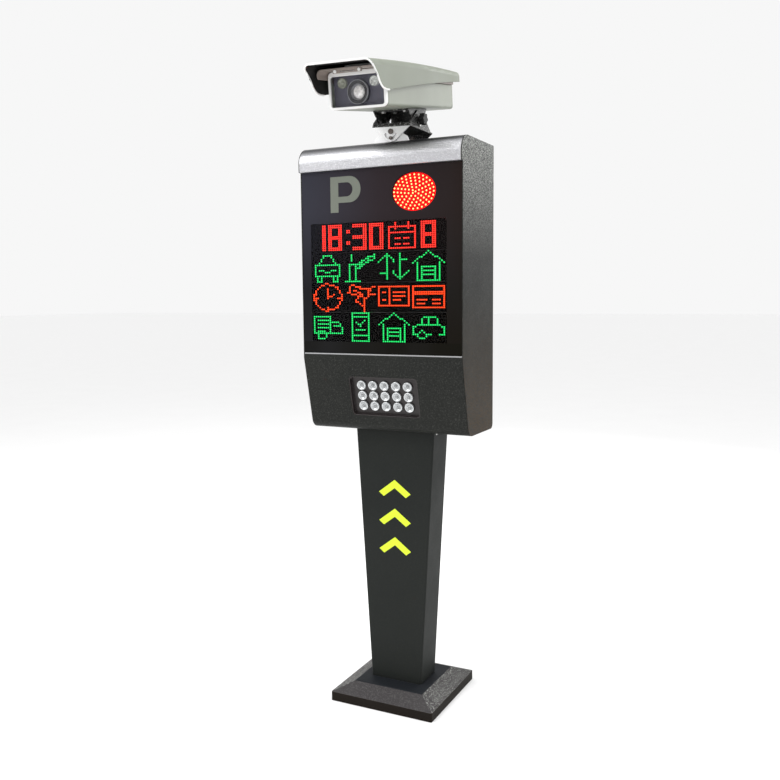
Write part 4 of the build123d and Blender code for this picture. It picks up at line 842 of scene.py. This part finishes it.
def ringDots(cx, cy, radius):
    # eight steps round the ring for each cell of its radius
    steps = int(radius * 8)
    return {(round(cx + radius * math.cos(2 * math.pi * i / steps)),
             round(cy + radius * math.sin(2 * math.pi * i / steps))) for i in range(steps)}


segments = {"a": ((0, 12), (5, 12)), "b": ((5, 12), (5, 6)), "c": ((5, 6), (5, 0)),
            "d": ((0, 0), (5, 0)), "e": ((0, 6), (0, 0)), "f": ((0, 12), (0, 6)),
            "g": ((0, 6), (5, 6))}
digitSegments = {"0": "abcdef", "1": "bc", "3": "abgcd", "8": "abcdefg"}
pictograms = {
    "calendar": [
        ((1, 1), (1, 12), (14, 12), (14, 1), (1, 1)), ((1, 9), (14, 9)), ((4, 14), (4, 11)),
        ((11, 14), (11, 11)), ((4, 6), (6, 6)), ((9, 6), (11, 6)), ((4, 3), (6, 3)),
        ((9, 3), (11, 3))],
    "carFront": [
        ((3, 9), (5, 14), (10, 14), (12, 9)), ((1, 9), (14, 9), (14, 3), (1, 3), (1, 9)),
        ((2, 2), (2, 0), (4, 0), (4, 2)), ((11, 2), (11, 0), (13, 0), (13, 2)), ((3, 6), (5, 6)),
        ((10, 6), (12, 6)), ((6, 5), (9, 5))],
    "barrier": [
        ((2, 0), (2, 9), (5, 9), (5, 0)), ((0, 0), (7, 0)), ((3, 11), (3, 14)), ((5, 8), (15, 14)),
        ((5, 6), (15, 12)), ((9, 9), (9, 11)), ((12, 11), (12, 13)), ((15, 12), (15, 14))],
    "gate": [
        ((0, 9), (7, 15), (8, 15), (15, 9)), ((2, 9), (2, 0), (13, 0), (13, 9)),
        ((4, 0), (4, 7), (11, 7), (11, 0)), ((4, 5), (11, 5)), ((4, 3), (11, 3))],
    "ticket": [
        ((0, 3), (0, 13), (15, 13), (15, 3), (0, 3)), ((5, 3), (5, 13)), ((8, 10), (13, 10)),
        ((8, 8), (13, 8)), ((8, 6), (11, 6)), ((2, 10), (3, 10)), ((2, 6), (3, 6))],
    "camera": [
        ((1, 10), (3, 14), (13, 11), (11, 7), (1, 10)), ((6, 8), (5, 5), (10, 3)),
        ((10, 0), (10, 6)), ((12, 12), (15, 13)), ((12, 9), (15, 9)), ((4, 11), (9, 9))],
    "carSide": [
        ((0, 4), (0, 8), (3, 9), (5, 13), (11, 13), (13, 9), (15, 8), (15, 4)), ((0, 4), (2, 4)),
        ((6, 4), (9, 4)), ((13, 4), (15, 4)), ((3, 9), (13, 9)), ((8, 13), (8, 9))],
    "card": [
        ((0, 2), (0, 13), (15, 13), (15, 2), (0, 2)), ((0, 10), (15, 10)), ((0, 9), (15, 9)),
        ((2, 6), (6, 6)), ((2, 4), (5, 4)), ((10, 6), (13, 6)), ((10, 4), (13, 4))],
    "arrows": [
        ((4, 1), (4, 14)), ((0, 10), (4, 14), (8, 10)), ((11, 14), (11, 1)),
        ((7, 5), (11, 1), (15, 5)), ((1, 4), (4, 4)), ((11, 11), (14, 11))],
    "truck": [
        ((0, 4), (0, 13), (9, 13), (9, 4), (0, 4)), ((9, 10), (13, 10), (15, 7), (15, 4), (9, 4)),
        ((2, 11), (7, 11)), ((2, 9), (7, 9)), ((11, 8), (13, 8)), ((2, 7), (7, 7))],
    "phone": [
        ((3, 0), (3, 15), (12, 15), (12, 0), (3, 0)), ((3, 3), (12, 3)), ((3, 13), (12, 13)),
        ((5, 10), (7, 8), (10, 11)), ((5, 6), (10, 6))],
    "clock": [
        ((7, 7), (7, 12)), ((7, 7), (11, 9)), ((7, 1), (7, 2)), ((1, 7), (2, 7)),
        ((13, 7), (14, 7))]}
pictogramRings = {"clock": (7.5, 7.5, 7.2), "carSide": (4, 3.5, 2), "truck": (4, 3, 2.4)}
displayLines = (
    ("redDots", "1", "8", ":", "3", "0", "calendar", "8"),
    ("greenDots", "carFront", "barrier", "arrows", "gate"),
    ("orangeDots", "clock", "camera", "ticket", "card"),
    ("greenDots", "truck", "phone", "gate", "carSide"))


def glyphDots(glyph):
    if glyph in digitSegments:
        dots = set()
        for letter in digitSegments[glyph]:
            start, end = segments[letter]
            for lift in (0, 1):
                raised = ((start[0], start[1] + lift), (end[0], end[1] + lift))
                dots |= strokeDots(raised, displayPlan["digitStroke"])
        return {(x, y + 1) for x, y in dots}
    if glyph == ":":
        return {(x, y) for x in (1, 2) for y in (4, 5, 10, 11)}
    dots = set()
    for stroke in pictograms[glyph]:
        dots |= strokeDots(stroke)
    if glyph in pictogramRings:
        dots |= ringDots(*pictogramRings[glyph])
    return {(round(x * displayPlan["signSqueeze"]), y) for x, y in dots}


def lineDots(glyphs):
    # dots of one line, with digits set closer than pictograms
    dots = set()
    column = 0
    for glyph in glyphs:
        dots |= {(x + column, y) for x, y in glyphDots(glyph)}
        kind = "digit" if glyph in digitSegments else glyph
        column += displayPlan["widths"].get(kind, displayPlan["widths"]["sign"])
    return {(x, y) for x, y in dots
            if 0 <= x < displayPlan["columns"] and 0 <= y < displayPlan["lineDots"]}


def dotDome(radius, height, sides):
    # a shallow dome that bulges towards -Y, open at its flat back
    bpy.ops.mesh.primitive_uv_sphere_add(segments=sides, ring_count=displayPlan["domeRings"],
                                         radius=radius)
    dome = bpy.context.object
    dome.rotation_euler = (math.pi / 2, 0, 0)
    dome.scale = (displayPlan["dotStretch"], 1, height / radius)
    bpy.ops.object.transform_apply(location=True, rotation=True, scale=True)
    deleteVerts(dome, lambda vert: vert.co.y > displayPlan["flatFrom"])
    return dome


def makeDots():
    low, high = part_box("led_modules")
    rows = displayPlan["lines"] * displayPlan["lineDots"]
    pitch = (high.x - low.x) / displayPlan["columns"]
    lift = (high.z - low.z) / (rows - displayPlan["edgeGap"])
    first = Vector((low.x + pitch / 2, low.y, low.z + displayPlan["edgeGap"] * lift))
    lit = {}
    for line, (finishName, *glyphs) in enumerate(displayLines):
        base = (displayPlan["lines"] - 1 - line) * displayPlan["lineDots"]
        lit.setdefault(finishName, set()).update((x, y + base) for x, y in lineDots(glyphs))
    for finishName, cells in lit.items():
        dome = dotDome(displayPlan["dotRadius"], displayPlan["dotHeight"], displayPlan["dotSides"])
        places = [first + Vector((x * pitch, 0, y * lift)) for x, y in sorted(cells)]
        dots = copyTo(dome, places)
        finishPiece(dots, finishName, finishName, "root")
        print("display dots in", finishName + ":", len(cells))
    unlit = dotDome(displayPlan["unlitRadius"], displayPlan["unlitHeight"],
                    displayPlan["unlitSides"])
    unlit.location = first
    for count, step in ((displayPlan["columns"], (pitch, 0, 0)), (rows, (0, 0, lift))):
        applyModifier(unlit, "ARRAY", {"count": count, "use_relative_offset": False,
                                       "use_constant_offset": True, "constant_offset_displace": step})
    finishPiece(unlit, "unlitDots", "moduleFace", "root")


makeDots()


# camera head pieces

hoodPlan = {
    "half": 0.087, "sheet": 0.0025, "corner": 0.014, "cornerSteps": 4, "setback": 0.0105,
    "rim": 0.0021, "rimRounds": 3,
    "sweep": (
        (-0.004, 0.035), (-0.020, 0.0354), (-0.034, 0.0385), (-0.043, 0.0441), (-0.050, 0.051)),
    "front": ((-0.060, 0.0667), (-0.078, 0.0856)), "top": (-0.0885, 0.0967)}


def hoodRim():
    # white rolled edge along the hood's front opening
    inset = hoodPlan["half"] - hoodPlan["sheet"] / 2
    side = [(inset, y, z) for y, z in hoodPlan["sweep"] + hoodPlan["front"]]
    topY, topZ = hoodPlan["top"]
    radius = hoodPlan["corner"]
    corner = []
    for i in range(hoodPlan["cornerSteps"] + 1):
        angle = math.radians(90 * i / hoodPlan["cornerSteps"])
        share = math.sin(angle)
        corner.append((inset - radius + radius * math.cos(angle),
                       topY + (1 - share) * hoodPlan["setback"], topZ - radius + radius * share))
    right = side + corner
    left = [(-x, y, z) for x, y, z in reversed(right)]
    curve = bpy.data.curves.new("hoodRim", "CURVE")
    curve.dimensions = "3D"
    curve.bevel_depth = hoodPlan["rim"]
    curve.bevel_resolution = hoodPlan["rimRounds"]
    curve.use_fill_caps = True
    spline = curve.splines.new("POLY")
    points = right + left
    spline.points.add(len(points) - 1)
    for point, place in zip(spline.points, points):
        point.co = (*place, 1)
    rim = bpy.data.objects.new("hoodRim", curve)
    bpy.context.scene.collection.objects.link(rim)
    useOnly(rim)
    bpy.ops.object.convert(target="MESH")
    rim = bpy.context.object
    rim.matrix_world = housingMatrix
    finishPiece(rim, "hoodRim", "whiteCoat", "head")


shadeSheetPlan = {"merge": 1e-5, "downFrom": 0.25, "above": 0.07, "sidewaysFrom": 0.6, "setIn": 0.0003}


def hoodShadeSheet():
    # painted shade inside the hood: the inner faces of a merged copy, set in by a hair and coated
    # near black
    shadeSheet = bpy.data.objects.new("hoodShadeSheet", nodes["sun_hood"].data.copy())
    bpy.context.scene.collection.objects.link(shadeSheet)
    useOnly(shadeSheet)
    toHousing = housingMatrix.inverted()
    turn = housingMatrix.to_3x3()
    down = (turn @ Vector((0, 0, -1))).normalized()
    across = (turn @ Vector((1, 0, 0))).normalized()
    mesh = bmesh.new()
    mesh.from_mesh(shadeSheet.data)
    bmesh.ops.remove_doubles(mesh, verts=mesh.verts, dist=shadeSheetPlan["merge"])
    outer = []
    for face in mesh.faces:
        middle = toHousing @ face.calc_center_median()
        sideways = face.normal.dot(across)
        under = face.normal.dot(down) > shadeSheetPlan["downFrom"] and middle.z > shadeSheetPlan["above"]
        inward = abs(sideways) > shadeSheetPlan["sidewaysFrom"] and sideways * middle.x < 0
        if not (under or inward):
            outer.append(face)
    bmesh.ops.delete(mesh, geom=outer, context="FACES")
    mesh.normal_update()
    for vert in mesh.verts:
        vert.co += vert.normal * shadeSheetPlan["setIn"]
    mesh.to_mesh(shadeSheet.data)
    mesh.free()
    finishPiece(shadeSheet, "hoodShadeSheet", "hoodInnerShadeCoat", "head")


hoodRim()
hoodShadeSheet()
print("camera head pieces made")


# stage, light and camera

stagePlan = {
    "size": 90, "drop": 0.0005, "tones": ((0.95, 0.95, 0.95), (0.98, 0.98, 0.98)), "mottle": 3,
    "rough": 0.85, "roughSpread": 0.1, "shine": 0.2, "world": (1.0, 1.0, 1.0),
    "worldStrength": 0.93}
lightPlan = {
    "overhead": {"place": (0.2, -0.3, 3.6), "aim": (0, 0, 1.2), "size": (1.6, 1.2), "power": 30},
    "browStrip": {
        "place": (-0.95, -1.2, 2.45), "aim": (-0.95, -0.15, 1.44), "size": (1.3, 0.8), "power": 17},
    "leftSoft": {"place": (-3.2, -1.0, 2.4), "aim": (0, 0, 1.1), "size": (1.6, 2.4), "power": 40},
    "rightHigh": {"place": (2.4, -0.5, 3.0), "aim": (0, 0, 1.4), "size": (1.0, 1.0), "power": 18},
    "rearFill": {"place": (1.0, 3.4, 2.4), "aim": (0, 0, 1.0), "size": (2.4, 2.0), "power": 30}}
cameraPlan = {"place": (1.0048, -2.0737, 1.0818), "yaw": math.radians(26.634),
              "down": math.radians(6.196), "roll": math.radians(-0.483), "lens": 40.158}


def makeStage():
    floorFinish = Finish("floorPaper")
    mottle = floorFinish.noise(stagePlan["mottle"], 3)
    floorFinish.set(colour=floorFinish.blend(mottle, *stagePlan["tones"]), shine=stagePlan["shine"],
                    rough=stagePlan["rough"] + mottle * stagePlan["roughSpread"])
    clearSelection()
    bpy.ops.mesh.primitive_plane_add(size=stagePlan["size"], location=(0, 0, -stagePlan["drop"]))
    floor = bpy.context.object
    floor.name = "floor"
    floor.data.materials.append(floorFinish.material)
    world = bpy.data.worlds.new("studio")
    bpy.context.scene.world = world
    world.use_nodes = True
    sky = world.node_tree.nodes["Background"]
    sky.inputs["Color"].default_value = (*stagePlan["world"], 1)
    sky.inputs["Strength"].default_value = stagePlan["worldStrength"]


def makeLights():
    for name, plan in lightPlan.items():
        light = bpy.data.lights.new(name, "AREA")
        light.shape = "RECTANGLE"
        light.size, light.size_y = plan["size"]
        light.energy = plan["power"]
        lamp = bpy.data.objects.new(name, light)
        bpy.context.scene.collection.objects.link(lamp)
        lamp.location = plan["place"]
        aim = Vector(plan["aim"]) - Vector(plan["place"])
        lamp.rotation_euler = aim.to_track_quat("-Z", "Y").to_euler()


def makeCamera():
    yaw, down, roll = cameraPlan["yaw"], cameraPlan["down"], cameraPlan["roll"]
    ahead = Vector((-math.sin(yaw) * math.cos(down), math.cos(yaw) * math.cos(down),
                    -math.sin(down)))
    right = Vector((math.cos(yaw), math.sin(yaw), 0))
    up = right.cross(ahead)
    rolledRight = right * math.cos(roll) + up * math.sin(roll)
    rolledUp = up * math.cos(roll) - right * math.sin(roll)
    turn = Matrix((rolledRight, rolledUp, -ahead)).transposed()
    lens = bpy.data.cameras.new("viewer")
    lens.lens = cameraPlan["lens"]
    viewer = bpy.data.objects.new("viewer", lens)
    bpy.context.scene.collection.objects.link(viewer)
    viewer.matrix_world = Matrix.Translation(cameraPlan["place"]) @ turn.to_4x4()
    bpy.context.scene.camera = viewer
    bpy.context.scene.view_settings.view_transform = "Standard"


makeStage()
makeLights()
makeCamera()
print("stage, lights and camera set")
